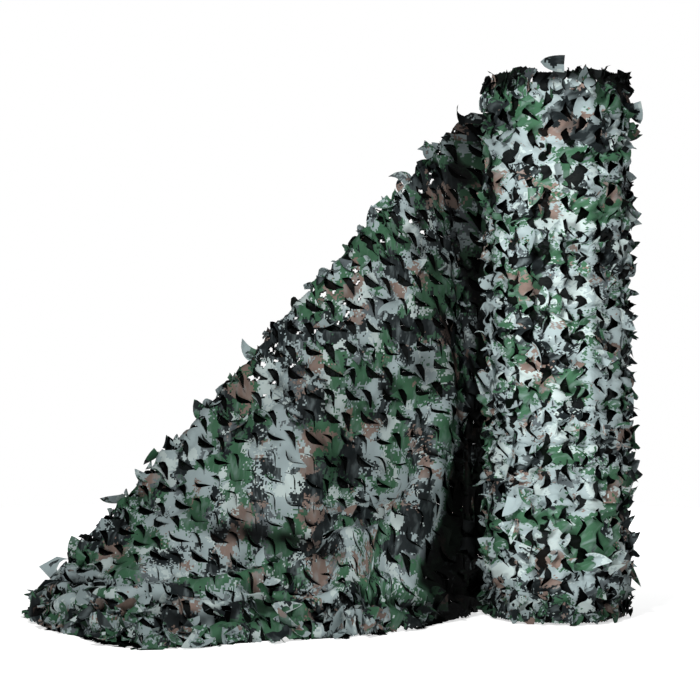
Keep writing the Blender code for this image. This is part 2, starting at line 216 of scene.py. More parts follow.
# The roll as rendered, a little inside the part's roll so that its leaves end at the same outline.
OUTER_TURN = (0.1960, 0.1910)
SECOND_TURN = (0.1865, 0.1815)
TURN_STARTS_DEG = 94.0
TURN_FOOT = 0.004
ROLL_SQUASH = 0.66
ROLL_RIPPLE = 0.0040
ROLL_PLEATS = 0.0035
ROLL_FOLDS = 0.0065
ROLL_DRIFT = 0.012
ROLL_WOBBLE = 0.0045
NOISE_START = 900
SEAM_DEG = 128.0
COVERED_DEG = 36.0
COVERED_FADE_DEG = 14.0
ENDS_ABOVE = 1.415
ENDS_BELOW = 0.09
RIM_SPARE = 0.012
RIM_STARTS = 1.40
RIM_RISE = 0.012
RIM_HIGHER = 0.020
RIM_ROUND = 0.055
RIM_WAVES = ((5, 0.0035, 0.4), (9, 0.0025, 2.0), (16, 0.0015, 4.1))  # waves round the rim, height, start

# The roll's ends and the form inside it.
TOP_LEAVES_Z = 1.462
SPIRAL_TURNS = 22.0
SPIRAL_STEPS = 44
SPIRAL_INNER = 0.022
EDGE_RIPPLE_SCALE = 28.0
EDGE_SIDEWAYS = 0.55
EDGE_UPWARDS = 3.0
CORE_COLUMNS = 160
CORE_ROWS = 120
CORE_FOOT = 0.003
CORE_BELOW_TOP = 0.050
CORE_RADIUS = 0.1745
CORE_LUMPS = 0.003
CORE_ROUND = 0.06

Tab = namedtuple("Tab", "root along length width")
LOOSE_TABS = (  # metres; two long leaves that stand out from the roll, each with its root and direction
    Tab((0.000, -0.184, 1.506), (-1.0, 0.0, 0.04), 0.074, 0.60),
    Tab((0.206, -0.040, 1.420), (0.30, 0.0, -1.0), 0.068, 0.62),
)
# An even darkening of the two tabs, stored in the same attribute as the painted shade.
TAB_TONE = 0.35

LOOKS = (  # painted brightness of each copy of the print (the wound turn lit brighter, the deep turn and the core shaded nearly black), how deep the crumples are, and shine
    ("net_print", 1.0, 1.0, 0.12),
    ("net_print_wound", 1.20, 2.2, 0.12),
    ("net_print_deep", 0.025, 1.0, 0.05),
    ("net_print_core", 0.025, 1.0, 0.05),
)
PATCHES = (  # colour, scale, start of the noise, level it starts at, and how far painted shade spreads it
    ("mid", 7.5, 8.4, 0.630, 0.12),
    ("green", 5.5, 11.7, 0.545, 0.14),
    ("dark", 7.0, 37.9, 0.605, 0.14),
    ("brown", 7.5, 23.3, 0.648, 0.0),
    ("pale", 9.0, 51.3, 0.610, -0.10),
)
THREADS_A_METRE = 160.0
CRUMPLE_DEPTH = 0.0025

# The stage: each light has a place, the place it points at, and a size.
LIGHTS = (
    ("key", (-0.95, -2.1, 1.95), (-0.05, 0.0, 0.75), 0.35),
    ("fill", (-2.6, -2.6, 1.2), (-0.7, 0.0, 0.4), 2.0),
    ("rear", (0.6, 3.2, 2.4), (-0.5, 0.0, 0.6), 2.0),
    ("side", (3.4, 1.0, 1.9), (0.0, 0.0, 0.7), 1.5),
)
CAMERA_PLACE = (-0.575, -4.96, 0.75)
CAMERA_TILT_DEG = 0.13
SENSOR_MM = 36.0
FLOOR_MIDDLE = (-0.6, 0.0, 0.0)
FLOOR_REACH = 3.6
FLOOR_SIDES = 64
FLOOR_COLOUR = (0.86, 0.86, 0.86)


def ramp(value, start, width):
    """Rises smoothly from 0 at the start to 1 a width further on."""
    share = np.clip((value - start) / width, 0.0, 1.0)
    return share * share * (3.0 - 2.0 * share)


def through(points, knots, wanted):
    """A smooth curve through the points, read at the wanted knot values."""
    steps = np.diff(knots)
    slopes = np.diff(points, axis=0) / steps[:, None]
    tangents = np.empty_like(points)
    tangents[0] = slopes[0]
    tangents[-1] = slopes[-1]
    share = (steps[:-1] / (steps[:-1] + steps[1:]))[:, None]
    tangents[1:-1] = slopes[:-1] * (1.0 - share) + slopes[1:] * share
    index = np.clip(np.searchsorted(knots, wanted, side="right") - 1, 0, len(steps) - 1)
    width = steps[index][:, None]
    t = ((wanted - knots[index]) / steps[index])[:, None]
    return (
        (2 * t**3 - 3 * t**2 + 1) * points[index]
        + (t**3 - 2 * t**2 + t) * width * tangents[index]
        + (3 * t**2 - 2 * t**3) * points[index + 1]
        + (t**3 - t**2) * width * tangents[index + 1]
    )


def slant_height(x):
    slope = (SLANT_TIP_Z - SLANT_TOP_Z) / (SLANT_TIP_X - SLANT_TOP_X)
    return SLANT_TOP_Z + slope * (x - SLANT_TOP_X)


def top_point(top_x):
    """The top edge: level as it leaves the roll, then a straight slant down to the tip."""
    level = TANGENT_Z + (SLANT_TOP_Z - TANGENT_Z) * (top_x - TANGENT_X) / (SLANT_TOP_X - TANGENT_X)
    y = ROLL_RADIUS + TOP_EDGE_OFF_ROLL + SLANT_TURN_IN * (top_x - TANGENT_X)
    return np.array([top_x, y, level if top_x > SLANT_TOP_X else slant_height(top_x)])


def section_controls():
    """One row of control points for each section: top, lip, brow, belly, shoulder and hem."""
    rows = []
    for section in map(Section._make, SECTIONS):
        top = top_point(section.top_x)
        folded = float(ramp(SLANT_TOP_X + FOLD_STARTS, section.top_x, FOLD_FADE))
        round_over = FOLD_RADIUS * folded
        lip = top + np.array([0.0, -round_over, -max(round_over, SHEET_THICKNESS)])
        lip[2] = max(lip[2], section.brow[2] + SHEET_THICKNESS / 2)
        hem = np.array([*section.hem, SHEET_THICKNESS / 2])
        rows.append([top, lip, section.brow, section.belly, section.shoulder, hem])
    return np.array(rows, float)


def heap_height(along, from_hem):
    """Height of the low folds that run along the hem, above the plain slope."""
    phase = sum(swing * np.sin(along / pitch * math.tau + start) for swing, pitch, start in HEAP_WANDER)
    wave = np.cos(from_hem / HEAP_PITCH * math.tau + phase)
    near_hem = ramp(from_hem, HEM_FLAT, HEM_FADE)
    far = 1.0 - ramp(from_hem, HEAP_DEPTH * 0.6, HEAP_DEPTH * 0.4)
    outward = ramp(along, HEAP_FROM, HEAP_FADE)
    return HEAP_RISE * wave * near_hem * far * outward


def crease_lift(points):
    """Outward rise of the creases, by distance from their lines as seen from the front."""
    lift = np.zeros(points.shape[:-1])
    for crease in map(Crease._make, CREASES):
        start = np.array([crease.from_x, crease.from_z])
        line = np.array([crease.to_x, crease.to_z]) - start
        away = points[..., [0, 2]] - start
        share = np.clip(away @ line / (line @ line), 0.0, 1.0)
        distance = np.linalg.norm(away - share[..., None] * line, axis=-1)
        lift += crease.rise * np.exp(-((distance / crease.width) ** 2))
    return lift


def unit_vectors(vectors):
    return vectors / np.maximum(np.linalg.norm(vectors, axis=-1, keepdims=True), 1e-9)


def run_along(line):
    """Distance from the line's first point to each of its points."""
    return np.concatenate([[0.0], np.cumsum(np.linalg.norm(np.diff(line, axis=0), axis=1))])


def at_run(line, run, wanted):
    """The points of a line at the wanted distances along it."""
    return np.column_stack([np.interp(wanted, run, line[:, axis]) for axis in range(3)])


def front_lines(columns):
    """Lines from the top edge to the hem, one for each fractional section number, folds included."""
    controls = section_controls()
    numbers = np.arange(len(controls), dtype=float)
    flat = through(controls.reshape(len(controls), -1), numbers, columns).reshape(len(columns), -1, 3)
    lines = []
    for points in flat:
        knots = np.concatenate([[0.0], np.cumsum(np.sqrt(np.linalg.norm(np.diff(points, axis=0), axis=1)))])
        dense = through(points, knots, np.linspace(0.0, knots[-1], FRONT_SAMPLES))
        run = run_along(dense)
        lines.append(at_run(dense, run, np.linspace(0.0, run[-1], FRONT_SAMPLES)))
    lines = np.array(lines)
    normals = unit_vectors(np.cross(np.gradient(lines, axis=0), np.gradient(lines, axis=1)))
    for line, normal in zip(lines, normals):
        run = run_along(line)
        lift = heap_height(-line[:, 0], run[-1] - run) * ramp(run[-1], 0.0, HEAP_FULL_RUN)
        settled = ramp(run[-1], run, HEM_FLAT) * ramp(run, 0.0, TOP_EDGE_TAUT)
        line += normal * ((lift + crease_lift(line)) * settled)[:, None]
    return lines


def flap_line(top):
    """The line from the fold down the back and out over the floor."""
    length = np.clip(TANGENT_Z - top[2] + FLAP_LEAST, FLAP_LEAST, top[2] + FLAP_ON_FLOOR)
    distance = np.linspace(0.0, length, FLAP_SAMPLES)
    radius = min(FOLD_RADIUS, top[2] * FOLD_SHARE_OF_HEIGHT)
    turn = np.minimum(distance / radius, math.pi / 2)
    hang = top[2] - radius - SHEET_THICKNESS / 2
    past = np.maximum(distance - radius * math.pi / 2, 0.0)
    down = np.minimum(past, hang)
    out = past - down
    sway = FLAP_SWAY * math.sin(top[0] / FLAP_SWAY_PITCH * math.tau)
    sway = sway * np.minimum(down / FLAP_SWAY_FADE, 1.0)
    y = top[1] + radius * np.sin(turn) + FLAP_LEAN * down + sway + out
    z = top[2] - radius * (1.0 - np.cos(turn)) - down
    return np.column_stack([np.full_like(y, top[0]), y, z])


def round_axis(radius, angle, height):
    return np.stack([radius * np.cos(angle), radius * np.sin(angle), height], axis=-1)


def keep_off_roll(points, clear):
    """Cloth that would enter the roll lies against it instead."""
    radius = np.hypot(points[..., 0], points[..., 1])
    push = np.where(radius < clear, clear / np.maximum(radius, 1e-9), 1.0)
    points[..., :2] *= push[..., None]
    return points


def flap_grid(tops, unit):
    """The rear flap as a grid of its own, with columns that hang straight down, numbered to the left."""
    places = np.arange(-SECTIONS[int(FLAP_FIRST_SECTION)][0], -SLANT_TIP_X, unit)
    lines = [flap_line(top) for top in at_run(tops, -tops[:, 0], places)]
    lengths = [run_along(line) for line in lines]
    starts = LEVEL_Z - np.array([line[0, 2] for line in lines])
    ends = starts + np.array([length[-1] for length in lengths])
    level = np.arange(math.floor(starts.min() / unit) * unit, ends.max(), unit)
    grid = np.array([at_run(*each[:2], level - each[2]) for each in zip(lines, lengths, starts)])
    kept = (level >= starts[:, None] + SHARED_AT_FOLD / 2) & (level <= ends[:, None])
    return grid, kept


def drape_grid(unit):
    """The draped loose end as a grid of points, columns running down and rows running to the right.

    Returns the points, which of them are cloth, how far each lies from the slant along its column, and the
    rear flap as a second grid with its own cloth. The first grid reaches a little way round the fold.
    """
    columns = np.linspace(0.0, len(SECTIONS) - 1.0, (len(SECTIONS) - 1) * COLUMNS_PER_SECTION + 1)
    clear = ROLL_RADIUS + PIECE_GAP + SHEET_THICKNESS / 2 + CHORD_ALLOWANCE
    fronts = keep_off_roll(front_lines(columns), clear)
    middle = slice(FRONT_SAMPLES // 5, FRONT_SAMPLES * 7 // 10)
    paces = np.linalg.norm(np.diff(fronts[:, middle], axis=0), axis=2).mean(axis=1)
    across = np.concatenate([[0.0], np.cumsum(paces)])
    lines = []
    runs = []
    for front in fronts:
        flap = flap_line(front[0])[:0:-1]
        lines.append(np.concatenate([flap, front]))
        whole = run_along(lines[-1])
        runs.append(whole - whole[len(flap)])
    tops = LEVEL_Z - fronts[:, 0, 2]
    flap_ends = np.where(columns < FLAP_FIRST_SECTION, 0.0, -SHARED_AT_FOLD)
    hems = np.array([run[-1] for run in runs])
    wanted = np.arange(0.0, across[-1], unit)[::-1]
    level = np.arange(math.floor((tops + flap_ends).min() / unit) * unit, (tops + hems).max(), unit)
    grid = np.empty((len(wanted), len(level), 3))
    from_slant = np.empty((len(wanted), len(level)))
    kept = np.empty((len(wanted), len(level)), bool)
    for number, place in enumerate(wanted):
        column = np.interp(place, across, np.arange(len(columns)))
        left = min(int(column), len(columns) - 2)
        share = column - left
        down = level - np.interp(column, np.arange(len(columns)), tops)
        first, second = (at_run(lines[side], runs[side], down) for side in (left, left + 1))
        grid[number] = first * (1.0 - share) + second * share
        lowest = flap_ends[left] * (1.0 - share) + flap_ends[left + 1] * share
        highest = hems[left] * (1.0 - share) + hems[left + 1] * share
        kept[number] = (down >= lowest) & (down <= highest)
        from_slant[number] = down
    return grid, kept, from_slant, flap_grid(fronts[:, 0], unit)


def turn_grid(unit, start_deg, outer, inner, foot, top):
    """One turn of the roll as a grid turned by 45 degrees: points, kept, heights, angles, offsets."""
    half = unit / math.sqrt(2.0)
    fall = half * ROLL_SQUASH
    around = math.tau * (outer + inner) / 2
    tall = top - foot
    first_i = math.floor(-around / (2 * half))
    last_i = math.ceil(tall / (2 * fall))
    last_j = math.ceil(tall / (2 * fall) + around / (2 * half))
    i, j = numbering((last_i + 1 - first_i, last_j + 1), (first_i, 0))
    right = (i - j) * half
    height = top - (i + j) * fall
    share = -right / around
    radius = outer + (inner - outer) * share
    angle = math.radians(start_deg) - share * math.tau
    grid = round_axis(radius, angle, height)
    kept = (share >= 0.0) & (share <= 1.0) & (height >= foot) & (height <= top)
    return grid, kept, height, np.degrees(angle), (first_i, 0)


def soft_noise(across, down, pace, seed):
    """Smooth noise from -1 to 1 with one random value at every pace, both ways."""
    table = np.random.default_rng(seed).uniform(-1.0, 1.0, (64, 64))
    a = across / pace
    b = down / pace
    a0 = np.floor(a).astype(int)
    b0 = np.floor(b).astype(int)
    fa = ramp(a, a0, 1.0)
    fb = ramp(b, b0, 1.0)
    near = table[a0 % 64, b0 % 64] * (1 - fa) + table[(a0 + 1) % 64, b0 % 64] * fa
    far = table[a0 % 64, (b0 + 1) % 64] * (1 - fa) + table[(a0 + 1) % 64, (b0 + 1) % 64] * fa
    return near * (1 - fb) + far * fb


def numbering(shape, start=(0, 0)):
    """The number of each point of a grid, to the right and down."""
    return np.meshgrid(np.arange(shape[0]) + start[0], np.arange(shape[1]) + start[1], indexing="ij")


def whole_cells(kept):
    """The lower corner of each cell of a grid whose four corners are all cloth."""
    return np.nonzero(kept[:-1, :-1] & kept[1:, :-1] & kept[1:, 1:] & kept[:-1, 1:])


def grid_frame(grid):
    """Steps to the right and down at each point, and the outward normal."""
    pace_across = np.gradient(grid, axis=0)
    pace_down = np.gradient(grid, axis=1)
    return pace_across, pace_down, unit_vectors(np.cross(pace_down, pace_across))


def find_hooks(hook, i, j, round_across, round_down):
    """Steps to each point from the corner of a hook of this kind, and that hook's number and row."""
    row = round_down((j - hook.down) / CUT_PITCH_DOWN).astype(int)
    stagger = (row % 2) * (CUT_PITCH_ACROSS // 2)
    number = round_across((i - hook.across - stagger) / CUT_PITCH_ACROSS).astype(int)
    step_i = i - (hook.across + stagger + number * CUT_PITCH_ACROSS)
    step_j = j - (hook.down + row * CUT_PITCH_DOWN)
    return step_i, step_j, number, row


def drawn(chance, steps, number, row, kind):
    """The random values of each hook, from a table that its number, row and kind step through."""
    return chance[(number * steps[0] + row * steps[1] + kind * steps[2]) % len(chance)]


def tongue_bend(distance, hinge, curl, reach):
    """How far a bent tongue reaches along the cloth and out of it, at a distance from its hinge."""
    bend = np.where(np.abs(curl) < LEAST_CURL, LEAST_CURL, curl) / reach
    angle = hinge + bend * distance
    return (np.sin(angle) - np.sin(hinge)) / bend, (np.cos(hinge) - np.cos(angle)) / bend


def without_scraps(faces):
    """The faces without small islands that the cuts leave at the edges."""
    label = np.arange(faces.max() + 1)
    settled = False
    while not settled:
        before = label.copy()
        np.minimum.at(label, faces.ravel(), np.repeat(label[faces].min(axis=1), 4))
        label = label[label]
        settled = bool((label == before).all())
    island = label[faces[:, 0]]
    return faces[np.bincount(island)[island] >= LEAST_ISLAND]


def tongue_moves(hook, along, beside, luck, fluff, curl, unit, paces):
    """How each point of a tongue moves as it bends about the line between the ends of its hook's arms."""
    pace_across, pace_down, normal = paces
    height = abs(hook.arm_across * hook.arm_down) / math.hypot(hook.arm_across, hook.arm_down)
    lean = np.array([-height / hook.arm_across, -height / hook.arm_down])
    distance = np.maximum(1.0 - along - beside, 0.0) * height * unit
    hinge = fluff * np.radians(curl.least_hinge + curl.more_hinge * luck[..., 0] ** FEW_WIDE)
    hinge = hinge + fluff * THROWN_TURN * (luck[..., 5] < curl.thrown)
    turn = fluff * np.radians(curl.least_curl + curl.more_curl * luck[..., 1])
    turn = turn * (1.0 + TWIST * (luck[..., 3] - 0.5) * (along - beside))
    flip = np.where(luck[..., 2] < curl.inward, -INWARD_SHARE, 1.0)
    reach, rise = tongue_bend(distance, hinge, turn, height * unit)
    reach = reach * (1.0 - curl.shrink * np.minimum(fluff, 1.0) ** 1.5)
    sway = (luck[..., 4] - 0.5) * 2 * curl.sway * fluff
    ahead = (pace_across * lean[0] + pace_down * lean[1]) / unit * (reach - distance)[..., None]
    aside = (pace_across * lean[1] - pace_down * lean[0]) / unit * (distance * sway)[..., None]
    return ahead + normal * (rise * flip)[..., None] + aside


def cut_faces(kept, offset, on_arm, corner, toward):
    """A face for each cell of cloth, and the points that a hook's arm doubles, to part its two sides."""
    lines = kept.shape[1]
    copies = np.flatnonzero(on_arm)
    copy_of = np.full(kept.size, -1)
    copy_of[copies] = kept.size + np.arange(len(copies))
    cell_i, cell_j = whole_cells(kept)
    faces = []
    for step_i, step_j in ((0, 0), (0, 1), (1, 1), (1, 0)):
        at = (cell_i + step_i) * lines + cell_j + step_j
        pin = corner.reshape(-1, 2)[at]
        way = toward.reshape(-1, 2)[at]
        in_tongue = (cell_i + offset[0] + 0.5 - pin[:, 0]) * way[:, 0] > 0
        in_tongue &= (cell_j + offset[1] + 0.5 - pin[:, 1]) * way[:, 1] > 0
        faces.append(np.where(on_arm.reshape(-1)[at] & in_tongue, copy_of[at], at))
    return without_scraps(np.stack(faces, axis=1)), copies


def cut_cloth(cloth, offset, unit, curl, seed):
    """Cut hooks through the grid of cloth and bend the tongues.

    Returns points, faces, flat places, and the painted shade each point gets for being sunk behind the rest.
    """
    grid, kept, relief, fluff = cloth
    paces = grid_frame(grid)
    pace_across, pace_down, normal = paces
    shape = grid.shape[:2]
    i, j = numbering(shape, offset)
    chance = np.random.default_rng(seed).random((LUCK_ROWS, 6))
    ground = grid.copy()
    lifted = np.zeros_like(grid)
    bent = np.zeros_like(grid)
    inside = np.zeros(shape, bool)
    on_arm = np.zeros(shape, bool)
    corner = np.zeros((*shape, 2), int)
    toward = np.ones((*shape, 2), int)
    for kind, hook in enumerate(HOOKS):
        between_arms = [np.floor if arm > 0 else np.ceil for arm in (hook.arm_across, hook.arm_down)]
        step_i, step_j, number, row = find_hooks(hook, i, j, *between_arms)
        along = step_i / hook.arm_across
        beside = step_j / hook.arm_down
        here = (along >= 0) & (beside >= 0) & (along + beside <= 1.0 + 1e-9)
        arm = here & (((beside == 0) & (along < 1)) | ((along == 0) & (beside < 1)))
        luck = drawn(chance, TONGUE_LUCK, number, row, kind)
        bent[here] = tongue_moves(hook, along, beside, luck, fluff, curl, unit, paces)[here]
        inside |= here
        on_arm |= arm
        side_i, side_j = int(np.sign(hook.arm_across)), int(np.sign(hook.arm_down))
        corner[arm] = np.stack([i - step_i, j - step_j], axis=-1)[arm]
        toward[arm] = (side_i, side_j)
        share = np.maximum(along, beside)
        slit = curl.slit * np.clip(0.15 + fluff, LEAST_SLIT, 1.0)
        slit = slit * np.clip(4.0 * share * (1.0 - share), SLIT_AT_ENDS, 1.0)
        slit = np.where(arm, slit, 0.0)[..., None]
        bent += slit * ((beside == 0) * side_j)[..., None] * pace_down
        bent += slit * ((along == 0) * side_i)[..., None] * pace_across
        step_i, step_j, number, row = find_hooks(hook, i, j, np.rint, np.rint)
        luck = drawn(chance, LIP_LUCK, number, row, kind)
        outside = (step_i * side_i <= 0) | (step_j * side_j <= 0)
        near = np.clip(1.0 - (step_i**2 + step_j**2) / LIP_REACH**2, 0.0, 1.0) ** 2
        lip = curl.lip * fluff * (LEAST_LIP + (1.0 - LEAST_LIP) * luck[..., 0]) * near * outside
        near = np.clip(1.0 - np.abs(step_i) / CORNER_REACH, 0.0, 1.0)
        near = CORNER_ROUND * near * np.clip(1.0 - np.abs(step_j) / CORNER_REACH, 0.0, 1.0)
        ground += near[..., None] * (side_i * pace_across + side_j * pace_down)
        lifted += normal * lip[..., None]
    base = np.where((inside & ~on_arm)[..., None], ground + bent, ground + lifted)
    faces, copies = cut_faces(kept, offset, on_arm, corner, toward)
    height = [(((moved - grid) * normal).sum(axis=-1) + relief).ravel() for moved in (base, ground + bent)]
    sunk = np.clip(-np.concatenate([height[0], height[1][copies]]) / DARK_AT_DEPTH, 0.0, 1.0)
    points = np.concatenate([base.reshape(-1, 3), (ground + bent).reshape(-1, 3)[copies]])
    flat = np.stack([i, j], axis=-1).reshape(-1, 2) * unit
    flat = np.concatenate([flat, flat[copies]])
    return only_used(points, faces, flat, sunk)


def only_used(points, faces, flat, sunk):
    """Cloth without the points that no face uses."""
    used, faces = np.unique(faces, return_inverse=True)
    return points[used], faces.reshape(-1, 4), flat[used], sunk[used]


def peepholes(places):
    """Which places lie in the small gaps below the slant where the cuts of both layers line up."""
    open_here = np.zeros(len(places), bool)
    chance = np.random.default_rng(PEEP_SEED)
    for along, down, size, lean in chance.random((PEEPHOLES, 4)):
        x = PEEP_FROM_X + (PEEP_TO_X - PEEP_FROM_X) * along
        z = slant_height(x) - PEEP_LEAST_BELOW - PEEP_MORE_BELOW * down**1.5
        across = places[:, 0] - x
        up = places[:, 2] - z - across * (PEEP_MORE_LEAN * lean - PEEP_LEAST_LEAN)
        away = np.abs(across / PEEP_REACH[0]) + np.abs(up / PEEP_REACH[1])
        open_here |= away < PEEP_LEAST_SIZE + PEEP_MORE_SIZE * size
    return open_here


def pierced(points, faces, flat, sunk):
    """The cloth without its faces at the peepholes."""
    return only_used(points, faces[~peepholes(points[faces].mean(axis=1))], flat, sunk)


def joined(parts):
    """Several cut cloths as one: points, faces, flat places and painted shade."""
    points, faces, flat, sunk = zip(*parts)
    counts = np.cumsum([0] + [len(part) for part in points])
    faces = [part + count for part, count in zip(faces, counts)]
    return tuple(np.concatenate(each) for each in (points, faces, flat, sunk))


def spot_strength(spot, x, z, power=2, lean=0.0):
    """A patch as seen from the front, strongest at its middle and fading out over its width and height."""
    away = ((x - spot.x) / spot.wide) ** power
    return spot.strength * np.exp(-away - ((z - spot.z + lean * (x - spot.x)) / spot.tall) ** 2)


def rear_tone(points, sunk=0.0):
    """The back of the loose end runs evenly, a little darker near the floor, with painted shade where it is
    sunk.
    """
    return np.clip(0.15 + 0.2 * (1.0 - ramp(points[..., 2], 0.0, 0.12)) + sunk * 0.7, 0.0, 1.0)


def back_tone(points, sunk):
    """The second layer's back, with painted shade as dark as the valley's where it shows low down beside the
    roll.
    """
    beside_roll = ramp(points[:, 0], -0.29, 0.03) * ramp(0.14, points[:, 1], 0.03)
    return np.maximum(rear_tone(points, sunk), 0.9 * beside_roll * ramp(0.75, points[:, 2], 0.1))


def drape_painted_shade(points, sunk=0.0):
    """Painted shade over the loose end: darkest in the valley beside the roll, and also in the band near the
    roll, at the listed spots, in the hollow under the belly, low down near the roll and where the cloth is
    sunk; a little evenly over the rest, least on the belly.
    """
    x = points[..., 0]
    z = points[..., 2]
    valley = ramp(x + 0.010, np.interp(z, *np.transpose(VALLEY_EDGE)), 0.042)
    valley = valley * (1.0 - 0.15 * ramp(z, 0.90, 0.20))
    shadowed = 0.62 * ramp(x, -0.46, 0.10) * ramp(z, 0.50, 0.15)
    spot_shade = sum(spot_strength(spot, x, z) for spot in SHADE_SPOTS)
    hollow = spot_strength(HOLLOW_SPOT, x, z, 4, HOLLOW_LEAN)
    heap = (0.34 + 0.36 * ramp(x, -0.48, 0.12)) * (1.0 - ramp(z, 0.05, 0.10))
    plain = 0.16 + 0.20 * ramp(z, 0.10, 0.20) - 0.14 * ramp(z, 0.75, 0.20)
    plain = plain * (1.0 - spot_strength(PLAIN_SPOT, x, z))
    front = np.maximum.reduce([valley, shadowed, spot_shade, hollow, heap, plain])
    behind = ramp(points[..., 1], SLANT_BACK_Y, 0.03) * (x < SLANT_TOP_X)
    sunk = sunk * (0.45 + 0.30 * ramp(z, 0.0, 0.2))
    return np.clip(front * (1.0 - behind) + 0.2 * behind + sunk, 0.0, 1.0)


def roll_painted_shade(points, sunk=0.0):
    """Painted shade on the roll at its sides, where the light falls off round it, and in its sunk places; it
    also runs darker at its two ends.
    """
    x = points[..., 0]
    z = points[..., 2]
    ends = 0.86 * ramp(z, 1.425, 0.038) + 0.50 * (1.0 - ramp(z, 0.02, 0.12))
    sides = 0.30 * ramp(np.abs(x - 0.01), 0.145, 0.04) + 0.20 * ramp(x, 0.06, 0.05)
    return np.clip(ends + sides + 0.12 * ramp(z, 1.25, 0.15) + sunk * 0.95, 0.0, 1.0)


def lift_rim(points):
    """Raise the roll's rim a little to the left and right, and let it wave."""
    share = ramp(points[..., 2], RIM_STARTS, ROLL_HEIGHT - RIM_STARTS)
    angle = np.arctan2(points[..., 1], points[..., 0])
    wave = sum(height * np.sin(count * angle + start) for count, height, start in RIM_WAVES)
    points[..., :2] *= 1.0 - RIM_ROUND * share[..., None] ** 2
    over = np.maximum(points[..., 2] - (ROLL_HEIGHT - 0.008), 0.0)
    points[..., 2] -= over
    points[..., 2] += share * (RIM_HIGHER + RIM_RISE * (points[..., 0] / ROLL_RADIUS) ** 2 + wave)
    return points


def linked(name, data):
    """A new object in the scene, at the origin."""
    made = bpy.data.objects.new(name, data)
    bpy.context.scene.collection.objects.link(made)
    return made


# Stores each point's painted shade as an attribute of the mesh.
def store_tone(mesh, tone):
    layer = mesh.attributes.new("tone", "FLOAT", "POINT")
    layer.data.foreach_set("value", np.ascontiguousarray(tone, np.float32).ravel())


def make_piece(name, points, faces, flat, look, tone=None):
    """A smooth mesh object at the origin, with its flat place in the cloth as its UV map."""
    mesh = bpy.data.meshes.new(name)
    mesh.from_pydata(points.tolist(), [], faces)
    layer = mesh.uv_layers.new(name="cloth")
    corners = np.empty(len(mesh.loops), np.int32)
    mesh.loops.foreach_get("vertex_index", corners)
    layer.data.foreach_set("uv", flat[corners].astype(np.float32).ravel())
    mesh.polygons.foreach_set("use_smooth", np.ones(len(mesh.polygons), bool))
    if tone is not None:
        store_tone(mesh, tone)
    mesh.materials.append(look)
    mesh.update()
    return linked(name, mesh)


class Wire:
    """An output of a node, which can be added, scaled and compared like a number."""

    def __init__(self, graph, socket):
        self.graph = graph
        self.socket = socket

    def maths(self, operation, first, second):
        return self.graph.add("ShaderNodeMath", {"operation": operation}, {0: first, 1: second})

    def __add__(self, other):
        return self.maths("ADD", self, other)

    def __radd__(self, other):
        return self.maths("ADD", other, self)

    def __sub__(self, other):
        return self.maths("SUBTRACT", self, other)

    def __rsub__(self, other):
        return self.maths("SUBTRACT", other, self)

    def __mul__(self, other):
        return self.maths("MULTIPLY", self, other)

    def __rmul__(self, other):
        return self.maths("MULTIPLY", other, self)

    def __gt__(self, other):
        return self.maths("GREATER_THAN", self, other)


class Graph:
    """A new material's node tree, with one method that adds any node."""

    def __init__(self, name):
        self.material = bpy.data.materials.new(name)
        self.material.use_nodes = True
        self.tree = self.material.node_tree
        self.shader = self.tree.nodes["Principled BSDF"]

    def add(self, kind, settings=None, values=None, output=0):
        node = self.tree.nodes.new(kind)
        for key, value in (settings or {}).items():
            setattr(node, key, value)
        self.feed(node, values or {})
        return Wire(self, node.outputs[output])

    def feed(self, node, values):
        for key, value in values.items():
            if isinstance(value, Wire):
                self.tree.links.new(value.socket, node.inputs[key])
            else:
                node.inputs[key].default_value = value

    def mix(self, share, first, second, blend="MIX"):
        settings = {"data_type": "RGBA", "blend_type": blend}
        return self.add("ShaderNodeMix", settings, {0: share, 6: first, 7: second}, output=2)

    def vector(self, operation, first, second, output=0):
        return self.add("ShaderNodeVectorMath", {"operation": operation}, {0: first, 1: second}, output)

    def xyz(self, **axes):
        return self.add("ShaderNodeCombineXYZ", None, {axis.upper(): value for axis, value in axes.items()})

    def noise(self, place, scale, detail, offset):
        moved = self.vector("ADD", place, (offset, offset * 0.7, 0.0))
        values = {"Vector": moved, "Scale": scale, "Detail": detail, "Roughness": 0.55}
        return self.add("ShaderNodeTexNoise", {"noise_dimensions": "2D"}, values)


